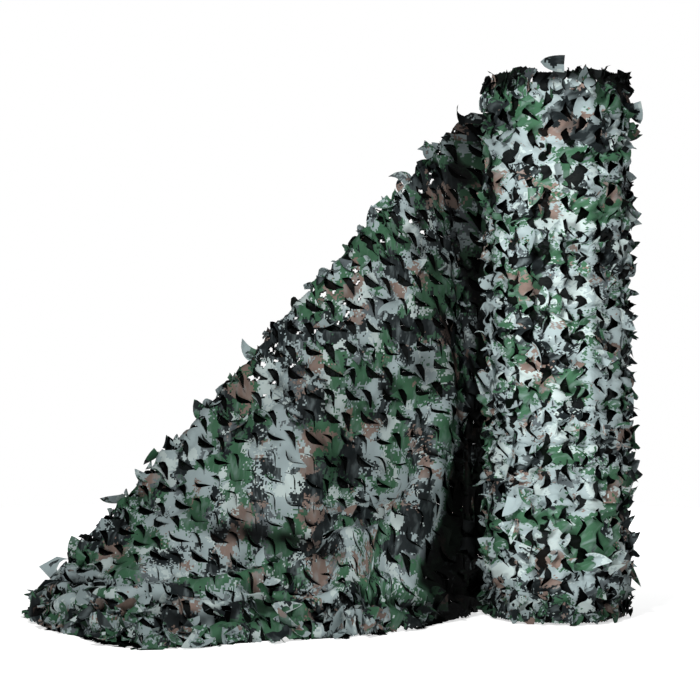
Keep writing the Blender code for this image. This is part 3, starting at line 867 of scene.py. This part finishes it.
class GeometryTree(Graph):
    """A geometry node tree with named inputs, used once to make a plain mesh."""

    def __init__(self, name, inputs):
        self.tree = bpy.data.node_groups.new(name, "GeometryNodeTree")
        sockets = self.tree.interface
        sockets.new_socket(name="Geometry", in_out="OUTPUT", socket_type="NodeSocketGeometry")
        sockets.new_socket(name="Geometry", in_out="INPUT", socket_type="NodeSocketGeometry")
        self.entry = self.tree.nodes.new("NodeGroupInput")
        self.exit = self.tree.nodes.new("NodeGroupOutput")
        self.given = {}
        for label, value in inputs.items():
            kind = "NodeSocketInt" if isinstance(value, int) else "NodeSocketFloat"
            socket = sockets.new_socket(name=label, in_out="INPUT", socket_type=kind)
            self.given[socket.identifier] = value
        self.inputs = {label: Wire(self, self.entry.outputs[label]) for label in ("Geometry", *inputs)}

    def chance(self, kind, least, most, seed):
        outputs = {"FLOAT_VECTOR": 0, "FLOAT": 1, "INT": 2}
        sockets = {"FLOAT_VECTOR": (0, 1), "FLOAT": (2, 3), "INT": (4, 5)}[kind]
        values = {sockets[0]: least, sockets[1]: most, "Seed": seed}
        return self.add("FunctionNodeRandomValue", {"data_type": kind}, values, output=outputs[kind])

    def store(self, geometry, name, value, kind="FLOAT", domain="POINT"):
        settings = {"data_type": kind, "domain": domain}
        values = {"Geometry": geometry, "Name": name, "Value": value}
        return self.add("GeometryNodeStoreNamedAttribute", settings, values)

    def read(self, name, kind="FLOAT"):
        return self.add("GeometryNodeInputNamedAttribute", {"data_type": kind}, {"Name": name})

    def run(self, result, carrier, name, look):
        """Put the tree on the carrier, and turn what it makes into a plain object of its own."""
        values = {"Geometry": result, "Material": bpy.data.materials[look]}
        result = self.add("GeometryNodeSetMaterial", None, values)
        self.tree.links.new(result.socket, self.exit.inputs[0])
        modifier = carrier.modifiers.new(self.tree.name, "NODES")
        modifier.node_group = self.tree
        for identifier, value in self.given.items():
            modifier[identifier] = value
        depsgraph = bpy.context.evaluated_depsgraph_get()
        mesh = bpy.data.meshes.new_from_object(carrier.evaluated_get(depsgraph), depsgraph=depsgraph)
        mesh.name = name
        carrier.modifiers.remove(modifier)
        bpy.data.objects.remove(carrier, do_unlink=True)
        return linked(name, mesh)


def leaf_blank(name, width, fold, curl, lean=0.45):
    """One loose leaf of cloth, a unit long: it leaves the cloth at the origin and points along Y."""
    points = []
    flat = []
    steps = 5
    for step in range(steps + 1):
        share = step / steps
        wide = width * (1.0 - share**2.2) ** 0.8 + 0.03
        y = math.sin(curl * share) / curl
        z = (1.0 - math.cos(curl * share)) / curl
        for side in (-0.5, 0.0, 0.5):
            skew = lean * share * share
            lift = fold * wide * abs(side) * (1.0 - 0.5 * share)
            points.append((side * wide + skew, y, z + lift))
            flat.append(((side * wide + skew) * 0.05, share * 0.05))
    faces = [[r * 3 + c, r * 3 + c + 1, r * 3 + c + 4, r * 3 + c + 3] for r in range(steps) for c in (0, 1)]
    return make_piece(name, np.array(points), faces, np.array(flat), bpy.data.materials["net_print"])


def scattered_leaves(name, carrier, blanks, look, density, size, lift_deg, seed):
    """Loose leaves over a carrier mesh, which is used up."""
    least, most = (math.radians(angle) for angle in lift_deg)
    inputs = {"Density": density, "Leaf length": size, "Least lift": least, "Most lift": most, "Seed": seed}
    tree = GeometryTree(name, inputs)
    given = tree.inputs
    scatter = tree.tree.nodes.new("GeometryNodeDistributePointsOnFaces")
    tree.feed(scatter, {"Mesh": given["Geometry"], "Density": given["Density"], "Seed": given["Seed"]})
    points = Wire(tree, scatter.outputs["Points"])
    turned = Wire(tree, scatter.outputs["Rotation"])
    for number, axis, least, most in (
        (1, "z", -math.pi, math.pi),
        (2, "x", given["Least lift"], given["Most lift"]),
    ):
        about = tree.xyz(**{axis: tree.chance("FLOAT", least, most, number)})
        values = {"Rotation": turned, "Rotate By": about}
        turned = tree.add("FunctionNodeRotateRotation", {"rotation_space": "LOCAL"}, values)
    join = tree.tree.nodes.new("GeometryNodeJoinGeometry")
    for blank in blanks:
        values = {"Object": blank, "As Instance": True}
        shape = tree.add("GeometryNodeObjectInfo", None, values, output="Geometry")
        tree.tree.links.new(shape.socket, join.inputs[0])
    scale = tree.chance("FLOAT", 0.55, 1.25, 3) * given["Leaf length"]
    values = {
        "Points": points,
        "Instance": Wire(tree, join.outputs[0]),
        "Pick Instance": True,
        "Instance Index": tree.chance("INT", 0, len(blanks) - 1, 4),
        "Rotation": turned,
        "Scale": scale,
    }
    placed = tree.add("GeometryNodeInstanceOnPoints", None, values)
    patch = tree.chance("FLOAT_VECTOR", (0.0, 0.0, 0.0), (9.0, 9.0, 0.0), 5)
    placed = tree.store(placed, "patch", patch, "FLOAT_VECTOR", "INSTANCE")
    real = tree.add("GeometryNodeRealizeInstances", None, {"Geometry": placed})
    own, patch = (tree.read(label, "FLOAT_VECTOR") for label in ("cloth", "patch"))
    shifted = tree.vector("ADD", own, patch)
    real = tree.store(real, "cloth", shifted, "FLOAT2", "CORNER")
    return tree.run(real, carrier, name, look)


def grid_mesh(name, grid, kept, step, tone):
    """A coarse mesh of every few points of a grid, to carry leaves."""
    coarse = grid[::step, ::step]
    i, j = whole_cells(kept[::step, ::step])
    lines = coarse.shape[1]
    faces = np.stack([i * lines + j, i * lines + j + 1, (i + 1) * lines + j + 1, (i + 1) * lines + j], axis=1)
    mesh = bpy.data.meshes.new(name)
    mesh.from_pydata(coarse.reshape(-1, 3).tolist(), [], faces.tolist())
    store_tone(mesh, tone(coarse))
    return linked(name, mesh)


def move_points(piece, change):
    """Put the points of a made mesh through a function, and shade it smooth."""
    mesh = piece.data
    places = np.empty(len(mesh.vertices) * 3, np.float32)
    mesh.vertices.foreach_get("co", places)
    mesh.vertices.foreach_set("co", change(places.reshape(-1, 3).astype(float)).astype(np.float32).ravel())
    mesh.polygons.foreach_set("use_smooth", np.ones(len(mesh.polygons), bool))
    mesh.update()


def off_floor(points):
    points[:, 2] = np.maximum(points[:, 2], LEAST_Z)
    return points


def on_rim(points):
    return lift_rim(off_floor(points))


def hand_over(piece, node):
    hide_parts(node)
    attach(piece, "root")


def lay_leaves(node, look, change, rows):
    """Scatter loose leaves over carriers, put them through a change, and hand each lot over as a piece."""
    blanks = [leaf_blank(*shape) for shape in LEAF_SHAPES]
    for name, carrier, density, size, lift, seed in rows:
        leaves = scattered_leaves(name, carrier, blanks, look, density, size, lift, seed)
        move_points(leaves, change)
        hand_over(leaves, node)
    for blank in blanks:
        bpy.data.objects.remove(blank, do_unlink=True)


def wound_ends(name, look, turns, least, most, foot, top, wave):
    """The wound edges that show at one end of the roll: a spiral strip with a wavy free edge."""
    inputs = {"Turns": turns, "Inner radius": least, "Outer radius": most}
    tree = GeometryTree(name, {**inputs, "Foot": foot, "Top": top, "Wave": wave})
    given = tree.inputs
    values = {
        "Resolution": SPIRAL_STEPS,
        "Rotations": given["Turns"],
        "Start Radius": given["Inner radius"],
        "End Radius": given["Outer radius"],
        "Height": 0.0,
    }
    spiral = tree.add("GeometryNodeCurveSpiral", None, values)
    spiral = tree.add("GeometryNodeSetCurveNormal", {"mode": "Z_UP"}, {"Curve": spiral})
    length = tree.add("GeometryNodeSplineParameter", None, None, output="Length")
    spiral = tree.store(spiral, "run", length)
    ends = {"Start": tree.xyz(y=given["Foot"]), "End": tree.xyz(y=given["Top"])}
    edge = tree.add("GeometryNodeCurvePrimitiveLine", None, ends)
    edge = tree.add("GeometryNodeResampleCurve", None, {"Curve": edge, "Count": 5})
    share = tree.add("GeometryNodeSplineParameter", None, None, output="Factor")
    edge = tree.store(edge, "rise", share)
    strip = tree.add("GeometryNodeCurveToMesh", None, {"Curve": spiral, "Profile Curve": edge})
    run, rise = (tree.read(label) for label in ("run", "rise"))
    flat = tree.xyz(x=run, y=rise * 0.04)
    values = {"Vector": flat, "Scale": EDGE_RIPPLE_SCALE, "Detail": 2.0}
    ripple = tree.add("ShaderNodeTexNoise", {"noise_dimensions": "2D"}, values, output=1)
    sway = given["Wave"] * rise
    room = tree.xyz(x=sway * EDGE_SIDEWAYS, y=sway * EDGE_SIDEWAYS, z=sway * EDGE_UPWARDS)
    moved = tree.vector("MULTIPLY", tree.vector("SUBTRACT", ripple, (0.5, 0.5, 0.5)), room)
    strip = tree.add("GeometryNodeSetPosition", None, {"Geometry": strip, "Offset": moved})
    strip = tree.store(strip, "cloth", flat, "FLOAT2", "CORNER")
    # Painted shade on the wound edges, darker the deeper they lie in the roll's end, lightest at the free
    # edge.
    strip = tree.store(strip, "tone", 0.45 - rise * 0.30)
    carrier = linked(name + "_carrier", bpy.data.meshes.new(name + "_carrier"))
    return tree.run(strip, carrier, name, look)


def printed_cloth(settings, name, depth, crumpled, shine):
    """Matt cloth with a printed design of small squares; depth is painted brightness, which shades the layers
    that lie inside nearly black and lights the wound turn brighter.
    """
    graph = Graph(name)
    place = graph.add("ShaderNodeUVMap", {"uv_map": "cloth"})
    step = settings.print_square
    snapped = graph.vector("SNAP", place, (step, step, step))
    speck = graph.add("ShaderNodeTexWhiteNoise", {"noise_dimensions": "2D"}, {"Vector": snapped})
    clump = graph.noise(snapped, 0.28 / step, 1.0, 91.0)
    dissolve = graph.noise(place, 3.1, 1.0, 17.0) * 2.0
    shake = ((speck - 0.5) * 0.35 + (clump - 0.5)) * dissolve * settings.print_scatter
    # Each point's painted shade: it draws in more mid, green and dark patches and fewer pale ones, dims the
    # colour and the light streaks, and roughens the cloth.
    tone = graph.add("ShaderNodeAttribute", {"attribute_name": "tone"}, None, output="Fac")
    colour = (*settings.light, 1.0)
    for shade, scale, offset, level, pull in PATCHES:
        patch = graph.noise(snapped, scale, 2.2, offset) + shake + tone * pull > level
        colour = graph.mix(patch, colour, (*getattr(settings, shade), 1.0))
    # Streaks along the pleats blend the colour towards the light ground, less where painted shade lies:
    # partly fading, partly painted highlights on the pleats.
    pleats = graph.vector("MULTIPLY", place, (1.0, 0.4, 1.0))
    fade_and_highlight = (graph.noise(pleats, 42.0, 2.5, 63.0) - 0.5) * 1.8 * (1.0 - tone)
    colour = graph.mix(fade_and_highlight, colour, (*settings.light, 1.0))
    wear = graph.noise(place, 3.0, 3.0, 71.0)
    # Random wear, times the painted brightness of this copy and the painted shade at each point.
    wear_and_shade = (0.72 + wear * 0.5) * depth * (1.0 - tone * 0.98)
    grey = graph.add("ShaderNodeCombineColor", {"mode": "RGB"}, {0: wear_and_shade, 1: wear_and_shade, 2: wear_and_shade})
    colour = graph.mix(1.0, colour, grey, "MULTIPLY")
    bands = [{"wave_type": "BANDS", "bands_direction": way} for way in ("X", "Y")]
    values = {"Vector": place, "Scale": THREADS_A_METRE}
    threads, cross = (graph.add("ShaderNodeTexWave", settings, values) for settings in bands)
    crumple = graph.noise(place, 60.0, 3.0, 5.0)
    relief = threads * 0.10 + cross * 0.10 + crumple + graph.noise(place, 20.0, 2.0, 9.0) * 2.0
    values = {"Strength": 0.6, "Distance": CRUMPLE_DEPTH * crumpled, "Height": relief}
    bump = graph.add("ShaderNodeBump", None, values)
    rough = 0.44 + crumple * 0.16 + tone * 0.35
    graph.feed(graph.shader, {"Base Color": colour, "Roughness": rough, "Normal": bump})
    graph.feed(graph.shader, {"Metallic": 0.0, "Specular IOR Level": shine})
    return graph.material


def plain_floor(name, colour):
    graph = Graph(name)
    place = graph.add("ShaderNodeTexCoord", None, None, output=3)
    grain = graph.add("ShaderNodeTexNoise", None, {"Vector": place, "Scale": 3.0, "Detail": 2.0})
    tint = graph.mix(grain, tuple(c * 0.985 for c in colour) + (1.0,), (*colour, 1.0))
    away = graph.vector("DISTANCE", place, FLOOR_MIDDLE, output=1)
    share = graph.add("ShaderNodeMapRange", {"interpolation_type": "SMOOTHSTEP"}, {0: away, 1: 0.8, 2: 3.2})
    glow = graph.mix(share, (0.66, 0.66, 0.66, 1.0), (1.0, 1.0, 1.0, 1.0))
    graph.feed(graph.shader, {"Base Color": tint, "Roughness": 0.9})
    graph.feed(graph.shader, {"Emission Color": glow, "Emission Strength": 1.0})
    return graph.material


def number(name, description, default, **kind):
    return bpy.props.FloatProperty(name=name, description=description, default=default, **kind)


def length(name, description, default):
    return number(name, description, default, unit="LENGTH")


def colour(name, description, default):
    return bpy.props.FloatVectorProperty(name=name, description=description, default=default, subtype="COLOR")


class PrintSettings(bpy.types.PropertyGroup):
    """The cloth's printed design."""

    print_square: length("Square", "Side of a printed square", 0.0045)
    print_scatter: number("Scatter", "How far patch edges break up", 0.24, subtype="FACTOR")
    light: colour("Light", "Light ground colour", (0.385, 0.475, 0.485))
    pale: colour("Pale", "Palest patches", (0.56, 0.66, 0.645))
    mid: colour("Mid grey", "Middle grey patches", (0.120, 0.145, 0.155))
    dark: colour("Dark", "Darkest patches", (0.014, 0.020, 0.022))
    green: colour("Green", "Green patches", (0.055, 0.150, 0.082))
    brown: colour("Brown", "Brown patches", (0.260, 0.190, 0.160))


class ClothSettings(bpy.types.PropertyGroup):
    """The net cloth and its cuts."""

    cell: length("Cell", "Side of one cell of the cloth's grid", 0.0065)
    flat_width: length("Width", "Width the net is cut to", 1.5)
    flat_length: length("Loose length", "Length of net drawn off the roll", 2.07)
    ply_gap: length("Ply gap", "Space between the two plies of the loose end", 0.010)
    ripple: length("Ripple", "Height of the small ripples in the drape", 0.006)


class StageSettings(bpy.types.PropertyGroup):
    """Camera and lights, with the power of each light in watts."""

    key_power: number("Key light", "Power of the main light", 53.0)
    fill_power: number("Fill light", "Power of the fill light", 3.5)
    rear_power: number("Rear light", "Power of the light from behind", 45.0)
    side_power: number("Side light", "Power of the light from the right", 16.0)
    world_strength: number("Surroundings", "Brightness of the light from all round", 0.12)
    lens: number("Lens", "Focal length in millimetres", 91.44)


def drape_fluff(grid, from_slant):
    """How far the tongues stand open over the loose end: little where the cloth lies taut and smooth."""
    x = grid[..., 0]
    z = grid[..., 2]
    near_slant = np.exp(-((from_slant / 0.20) ** 2))
    smooth = np.maximum.reduce([spot_strength(spot, x, z) for spot in SMOOTH_SPOTS])
    fluff = 0.95 - smooth * (1.0 - 0.7 * near_slant)
    return np.clip(fluff + 0.15 * near_slant, 0.1, 1.15)


def run_of_flap(flap, kept):
    """How far each point of the rear flap lies below the fold, along its column."""
    highest = np.where(kept, flap[..., 2], -1.0).max(axis=1, keepdims=True)
    return np.maximum(highest - flap[..., 2], 0.0)


def drape_relief(grid, ripple, seed):
    """Small ripples all over the drape, and deeper tucks near the floor."""
    i, j = numbering(grid.shape)
    low = 1.0 - ramp(grid[..., 2], TUCK_BELOW, TUCK_FADE)
    waves = soft_noise(i, j, 11.0, seed) + 0.5 * soft_noise(i, j, 5.0, seed + 1)
    return waves * ripple + soft_noise(i, j * 2.4, 15.0, seed + 2) * TUCK_HEIGHT * low


class NET_OT_loose_end(bpy.types.Operator):
    """Drape the loose end and cut its hooks."""

    bl_idname = "net.loose_end"
    bl_label = "Loose end"

    def execute(self, context):
        cloth = context.scene.net_cloth
        grid, kept, from_slant, (flap, flap_kept) = drape_grid(cloth.cell)
        fluff = drape_fluff(grid, from_slant)
        relief = drape_relief(grid, cloth.ripple * (0.35 + 0.65 * fluff), 5)
        grid += grid_frame(grid)[2] * relief[..., None]
        flap_relief = drape_relief(flap, cloth.ripple, 15)
        flap += grid_frame(flap)[2] * flap_relief[..., None]
        near_slant = np.exp(-((from_slant / PLY_OPEN_REACH) ** 2))
        open_ply = 0.8 * (1.0 - ramp(grid[..., 0], -0.46, 0.10)) * near_slant
        front = Ground(grid, kept, relief, fluff)
        front_ply = Ground(grid, kept, relief, fluff * open_ply)
        behind = Ground(*(part[::-1] for part in (grid, kept, -relief, 0.5 + 0.3 * fluff)))
        rear = Ground(flap, flap_kept, flap_relief, np.full(flap.shape[:2], 0.95))
        open_ply = 0.8 * np.exp(-((run_of_flap(flap, flap_kept) / PLY_OPEN_REACH) ** 2))
        rear_ply = Ground(flap, flap_kept, flap_relief, open_ply)
        # The second ply wears the shaded core copy, painted nearly black, so the cuts of the front ply show
        # painted shade behind them.
        for name, grounds, depth, offset, curl, look, seed in (
            ("loose_net", (front, rear), 0.0, (0, 0), FRONT_CURL, "net_print", 21),
            ("loose_net_ply", (front_ply, rear_ply), cloth.ply_gap, (8, 3), PLY_CURL, "net_print_core", 25),
            ("loose_net_back", (behind,), -2.0 * cloth.ply_gap, (3, 2), FRONT_CURL, "net_print", 27),
        ):
            cuts = []
            for ground in grounds:
                lowered = ground.grid - grid_frame(ground.grid)[2] * depth
                ground = ground._replace(grid=lowered)
                cuts.append(cut_cloth(ground, offset, cloth.cell, curl, seed))
            points, faces, flat, sunk = pierced(*joined(cuts))
            points = off_floor(keep_off_roll(points, ROLL_RADIUS + SHEET_THICKNESS))
            tone = (back_tone if name == "loose_net_back" else drape_painted_shade)(points, sunk)
            piece = make_piece(name, points, faces.tolist(), flat, bpy.data.materials[look], tone)
            hand_over(piece, "loose_end")
            name != "loose_net_back"
        crest = kept & (np.abs(from_slant) < CREST_REACH)
        rough = kept & (fluff > ROUGH_FLUFF)
        hem = kept & (grid[..., 2] < HEM_LEAVES_BELOW) & (from_slant > 0.0)
        rows = []
        for name, surface, tone, where, *scatter in (
            ("loose_end_leaves", grid, drape_painted_shade, rough, 100.0, 0.050, (0.0, 40.0), 8),
            ("slant_leaves", grid, drape_painted_shade, crest, 640.0, 0.052, (5.0, 52.0), 12),
            ("hem_leaves", grid, drape_painted_shade, hem, 420.0, 0.060, (0.0, 16.0), 14),
            ("flap_leaves", flap, rear_tone, flap_kept, 130.0, 0.050, (0.0, 40.0), 18),
        ):
            rows.append((name, grid_mesh(name + "_carrier", surface, where, 3, tone), *scatter))
        lay_leaves("loose_end", "net_print", off_floor, rows)
        return {"FINISHED"}


class NET_OT_roll_side(bpy.types.Operator):
    """Wind the two outer turns of the roll and cut their hooks."""

    bl_idname = "net.roll_side"
    bl_label = "Roll side"

    def execute(self, context):
        cell = context.scene.net_cloth.cell
        # The second turn wears the shaded deep copy, painted nearly black as the shade inside the outer
        # turn's cuts.
        for name, radii, strength, look, seed in (
            ("outer_turn", OUTER_TURN, 1.0, "net_print_wound", 31),
            ("second_turn", SECOND_TURN, 0.75, "net_print_deep", 41),
        ):
            turn = turn_grid(cell, TURN_STARTS_DEG, *radii, TURN_FOOT, ROLL_HEIGHT - RIM_SPARE)
            grid, kept, height, angle, offset = turn
            normal = grid_frame(grid)[2]
            i, j = numbering(grid.shape)
            around, down = i - j + NOISE_START, i + j
            from_seam = np.minimum(np.abs(angle - SEAM_DEG), np.abs(angle + 360.0 - SEAM_DEG))
            covered = 1.0 - ramp(from_seam, COVERED_DEG, COVERED_FADE_DEG)
            ripple = soft_noise(i, j, 9.0, seed) + 0.6 * soft_noise(i, j, 4.5, seed + 1)
            folds = soft_noise(around, down * 2.6 + NOISE_START, 22.0, seed + 3)
            drift = soft_noise(around, down + NOISE_START, 26.0, seed + 4) * ROLL_DRIFT
            pleats = soft_noise(around, down * 2.0 + NOISE_START, 8.0, seed + 7)
            relief = ripple * ROLL_RIPPLE + folds * ROLL_FOLDS + pleats * ROLL_PLEATS
            relief = relief * (1.0 - 0.7 * covered)
            far = (i + NOISE_START, j + NOISE_START)
            wobble = [soft_noise(*far, 4.2, seed + step) * ROLL_WOBBLE for step in (5, 6)]
            inside = ramp(height, 0.01, 0.05) * ramp(ROLL_HEIGHT - 0.02, height, 0.05)
            grid[..., 2] += (drift + wobble[0]) * inside
            sideways = np.stack([-grid[..., 1], grid[..., 0]], axis=-1) / ROLL_RADIUS
            grid[..., :2] += sideways * wobble[1][..., None]
            grid += normal * relief[..., None]
            ground = Ground(grid, kept, relief, strength * (1.0 - 0.8 * covered))
            points, faces, flat, sunk = cut_cloth(ground, offset, cell, ROLL_CURL, seed + 2)
            points[:, 2] = np.clip(points[:, 2], LEAST_Z, ROLL_HEIGHT + RIM_SPARE)
            tone = roll_painted_shade(points, sunk)
            piece = make_piece(name, lift_rim(points), faces.tolist(), flat, bpy.data.materials[look], tone)
            hand_over(piece, "net_roll")
            if name == "outer_turn":
                side = grid_mesh("side_carrier", grid, kept & (covered < 0.2), 4, roll_painted_shade)
                at_end = (height > ENDS_ABOVE) | (height < ENDS_BELOW)
                ends = grid_mesh("ends_carrier", grid, kept & at_end, 2, roll_painted_shade)
        rows = (
            ("roll_leaves", side, 170.0, 0.050, (0.0, 30.0), 9),
            ("end_leaves", ends, 1100.0, 0.038, (0.0, 14.0), 19),
        )
        lay_leaves("net_roll", "net_print_wound", on_rim, rows)
        return {"FINISHED"}


class NET_OT_roll_ends(bpy.types.Operator):
    """Wind the edges that show at the roll's two ends."""

    bl_idname = "net.roll_ends"
    bl_label = "Roll ends"

    def execute(self, context):
        outer = OUTER_TURN[1] - 0.001
        for name, *rises in (("top_edges", 1.430, 1.484, 0.012), ("foot_edges", 0.050, 0.008, 0.010)):
            strip = wound_ends(name, "net_print", SPIRAL_TURNS, SPIRAL_INNER, outer, *rises)
            move_points(strip, on_rim)
            hand_over(strip, "net_roll")
        angle, radius = np.linspace(0.0, -math.tau, 33), np.linspace(0.02, 0.185, 8)
        angle, radius = np.meshgrid(angle, radius, indexing="ij")
        disc = round_axis(radius, angle, np.full_like(angle, TOP_LEAVES_Z))
        carrier = grid_mesh("top_carrier", disc, np.ones(disc.shape[:2], bool), 1, rear_tone)
        row = ("top_leaves", carrier, 1500.0, 0.046, (0.0, 35.0), 23)
        lay_leaves("net_roll", "net_print", off_floor, (row,))
        for number, tab in enumerate(LOOSE_TABS):
            piece = leaf_blank(f"loose_tab_{number + 1}", tab.width, 0.5, 0.8, 0.0)
            store_tone(piece.data, np.full(len(piece.data.vertices), TAB_TONE))
            along = unit_vectors(np.array(tab.along))
            outward = np.array([0.0, -1.0, 0.0])
            axes = np.stack([np.cross(along, outward), along, outward])
            move_points(piece, lambda points: np.array(tab.root) + points @ axes * tab.length)
            hand_over(piece, "net_roll")
        return {"FINISHED"}


class NET_OT_roll_core(bpy.types.Operator):
    """Fill the roll with the lumpy form of its inner turns, painted nearly black as shade."""

    bl_idname = "net.roll_core"
    bl_label = "Roll core"

    def execute(self, context):
        columns = CORE_COLUMNS
        heights = np.linspace(CORE_FOOT, ROLL_HEIGHT - CORE_BELOW_TOP, CORE_ROWS)
        angle = np.arange(columns) / columns * math.tau
        a, z = np.meshgrid(angle, heights, indexing="ij")
        lumps = soft_noise(a / math.tau * 64, z * 40, 1.0, 51)
        radius = CORE_RADIUS + CORE_LUMPS * lumps
        from_end = np.minimum(z, heights[-1] - z + CORE_FOOT)
        radius *= 1.0 - CORE_ROUND * (1.0 - ramp(from_end, 0.0, 0.02))
        grid = round_axis(radius, a, z)
        points = np.concatenate([grid.reshape(-1, 3), [[0, 0, heights[0]], [0, 0, heights[-1]]]])
        rows = len(heights)
        foot = columns * rows
        faces = []
        for column in range(columns):
            here, after = column * rows, (column + 1) % columns * rows
            faces += [[here + row, after + row, after + row + 1, here + row + 1] for row in range(rows - 1)]
            faces += [[foot, after, here], [foot + 1, here + rows - 1, after + rows - 1]]
        flat = np.column_stack([np.append(a.ravel(), [0, 0]) * 0.177, np.append(z.ravel(), [0, 1])])
        piece = make_piece("inner_turns", points, faces, flat, bpy.data.materials["net_print_core"])
        hand_over(piece, "net_roll")
        return {"FINISHED"}


class NET_OT_stage(bpy.types.Operator):
    """Set the floor, the lights and the camera."""

    bl_idname = "net.stage"
    bl_label = "Stage"

    def execute(self, context):
        settings = context.scene.net_stage
        mesh = bpy.data.meshes.new("floor")
        middle = Vector(FLOOR_MIDDLE)
        turns = [number / FLOOR_SIDES * math.tau for number in range(FLOOR_SIDES)]
        ring = [middle + Vector((math.cos(turn), math.sin(turn), 0.0)) * FLOOR_REACH for turn in turns]
        mesh.from_pydata(ring, [], [list(range(FLOOR_SIDES))])
        mesh.materials.append(plain_floor("pale_floor", FLOOR_COLOUR))
        linked("floor", mesh)
        world = bpy.data.worlds.new("studio")
        world.use_nodes = True
        nodes = world.node_tree.nodes
        soft = nodes["Background"]
        soft.inputs["Strength"].default_value = settings.world_strength
        bright = nodes.new("ShaderNodeBackground")
        for light in (soft, bright):
            light.inputs["Color"].default_value = (1.0, 1.0, 1.0, 1.0)
        seen = nodes.new("ShaderNodeLightPath")
        mix = nodes.new("ShaderNodeMixShader")
        links = world.node_tree.links
        links.new(seen.outputs["Is Camera Ray"], mix.inputs[0])
        links.new(soft.outputs[0], mix.inputs[1])
        links.new(bright.outputs[0], mix.inputs[2])
        links.new(mix.outputs[0], nodes["World Output"].inputs["Surface"])
        context.scene.world = world
        for name, place, aim, size in LIGHTS:
            light = bpy.data.lights.new(name, "AREA")
            light.size = size
            light.energy = getattr(settings, name + "_power")
            lamp = linked(name, light)
            lamp.location = place
            lamp.visible_camera = False
            aimed = Vector(aim) - Vector(place)
            lamp.rotation_euler = aimed.to_track_quat("-Z", "Y").to_euler()
        camera_data = bpy.data.cameras.new("camera")
        camera_data.lens = settings.lens
        camera_data.sensor_width = SENSOR_MM
        camera = linked("camera", camera_data)
        camera.location = CAMERA_PLACE
        camera.rotation_euler = (math.radians(90.0 - CAMERA_TILT_DEG), 0.0, 0.0)
        context.scene.camera = camera
        context.scene.view_settings.view_transform = "Standard"
        return {"FINISHED"}


class NET_PT_panel(bpy.types.Panel):
    """Lists the pieces of the net and its stage."""

    bl_label = "Camouflage net"
    bl_space_type = "VIEW_3D"
    bl_region_type = "UI"
    bl_category = "Camouflage net"

    def draw(self, context):
        for operator in OPERATORS:
            self.layout.operator(operator.bl_idname)


OPERATORS = (NET_OT_loose_end, NET_OT_roll_side, NET_OT_roll_ends, NET_OT_roll_core, NET_OT_stage)
CLASSES = (PrintSettings, ClothSettings, StageSettings, *OPERATORS, NET_PT_panel)


def register():
    for cls in CLASSES:
        bpy.utils.register_class(cls)
    bpy.types.Scene.net_print = bpy.props.PointerProperty(type=PrintSettings)
    bpy.types.Scene.net_cloth = bpy.props.PointerProperty(type=ClothSettings)
    bpy.types.Scene.net_stage = bpy.props.PointerProperty(type=StageSettings)


def unregister():
    del bpy.types.Scene.net_stage
    del bpy.types.Scene.net_cloth
    del bpy.types.Scene.net_print
    for cls in reversed(CLASSES):
        bpy.utils.unregister_class(cls)


def main():
    register()
    settings = bpy.context.scene.net_print
    for look in LOOKS:
        printed_cloth(settings, *look)
    bpy.ops.net.loose_end()
    bpy.ops.net.roll_side()
    bpy.ops.net.roll_ends()
    bpy.ops.net.roll_core()
    bpy.ops.net.stage()


if __name__ == "__main__":
    main()
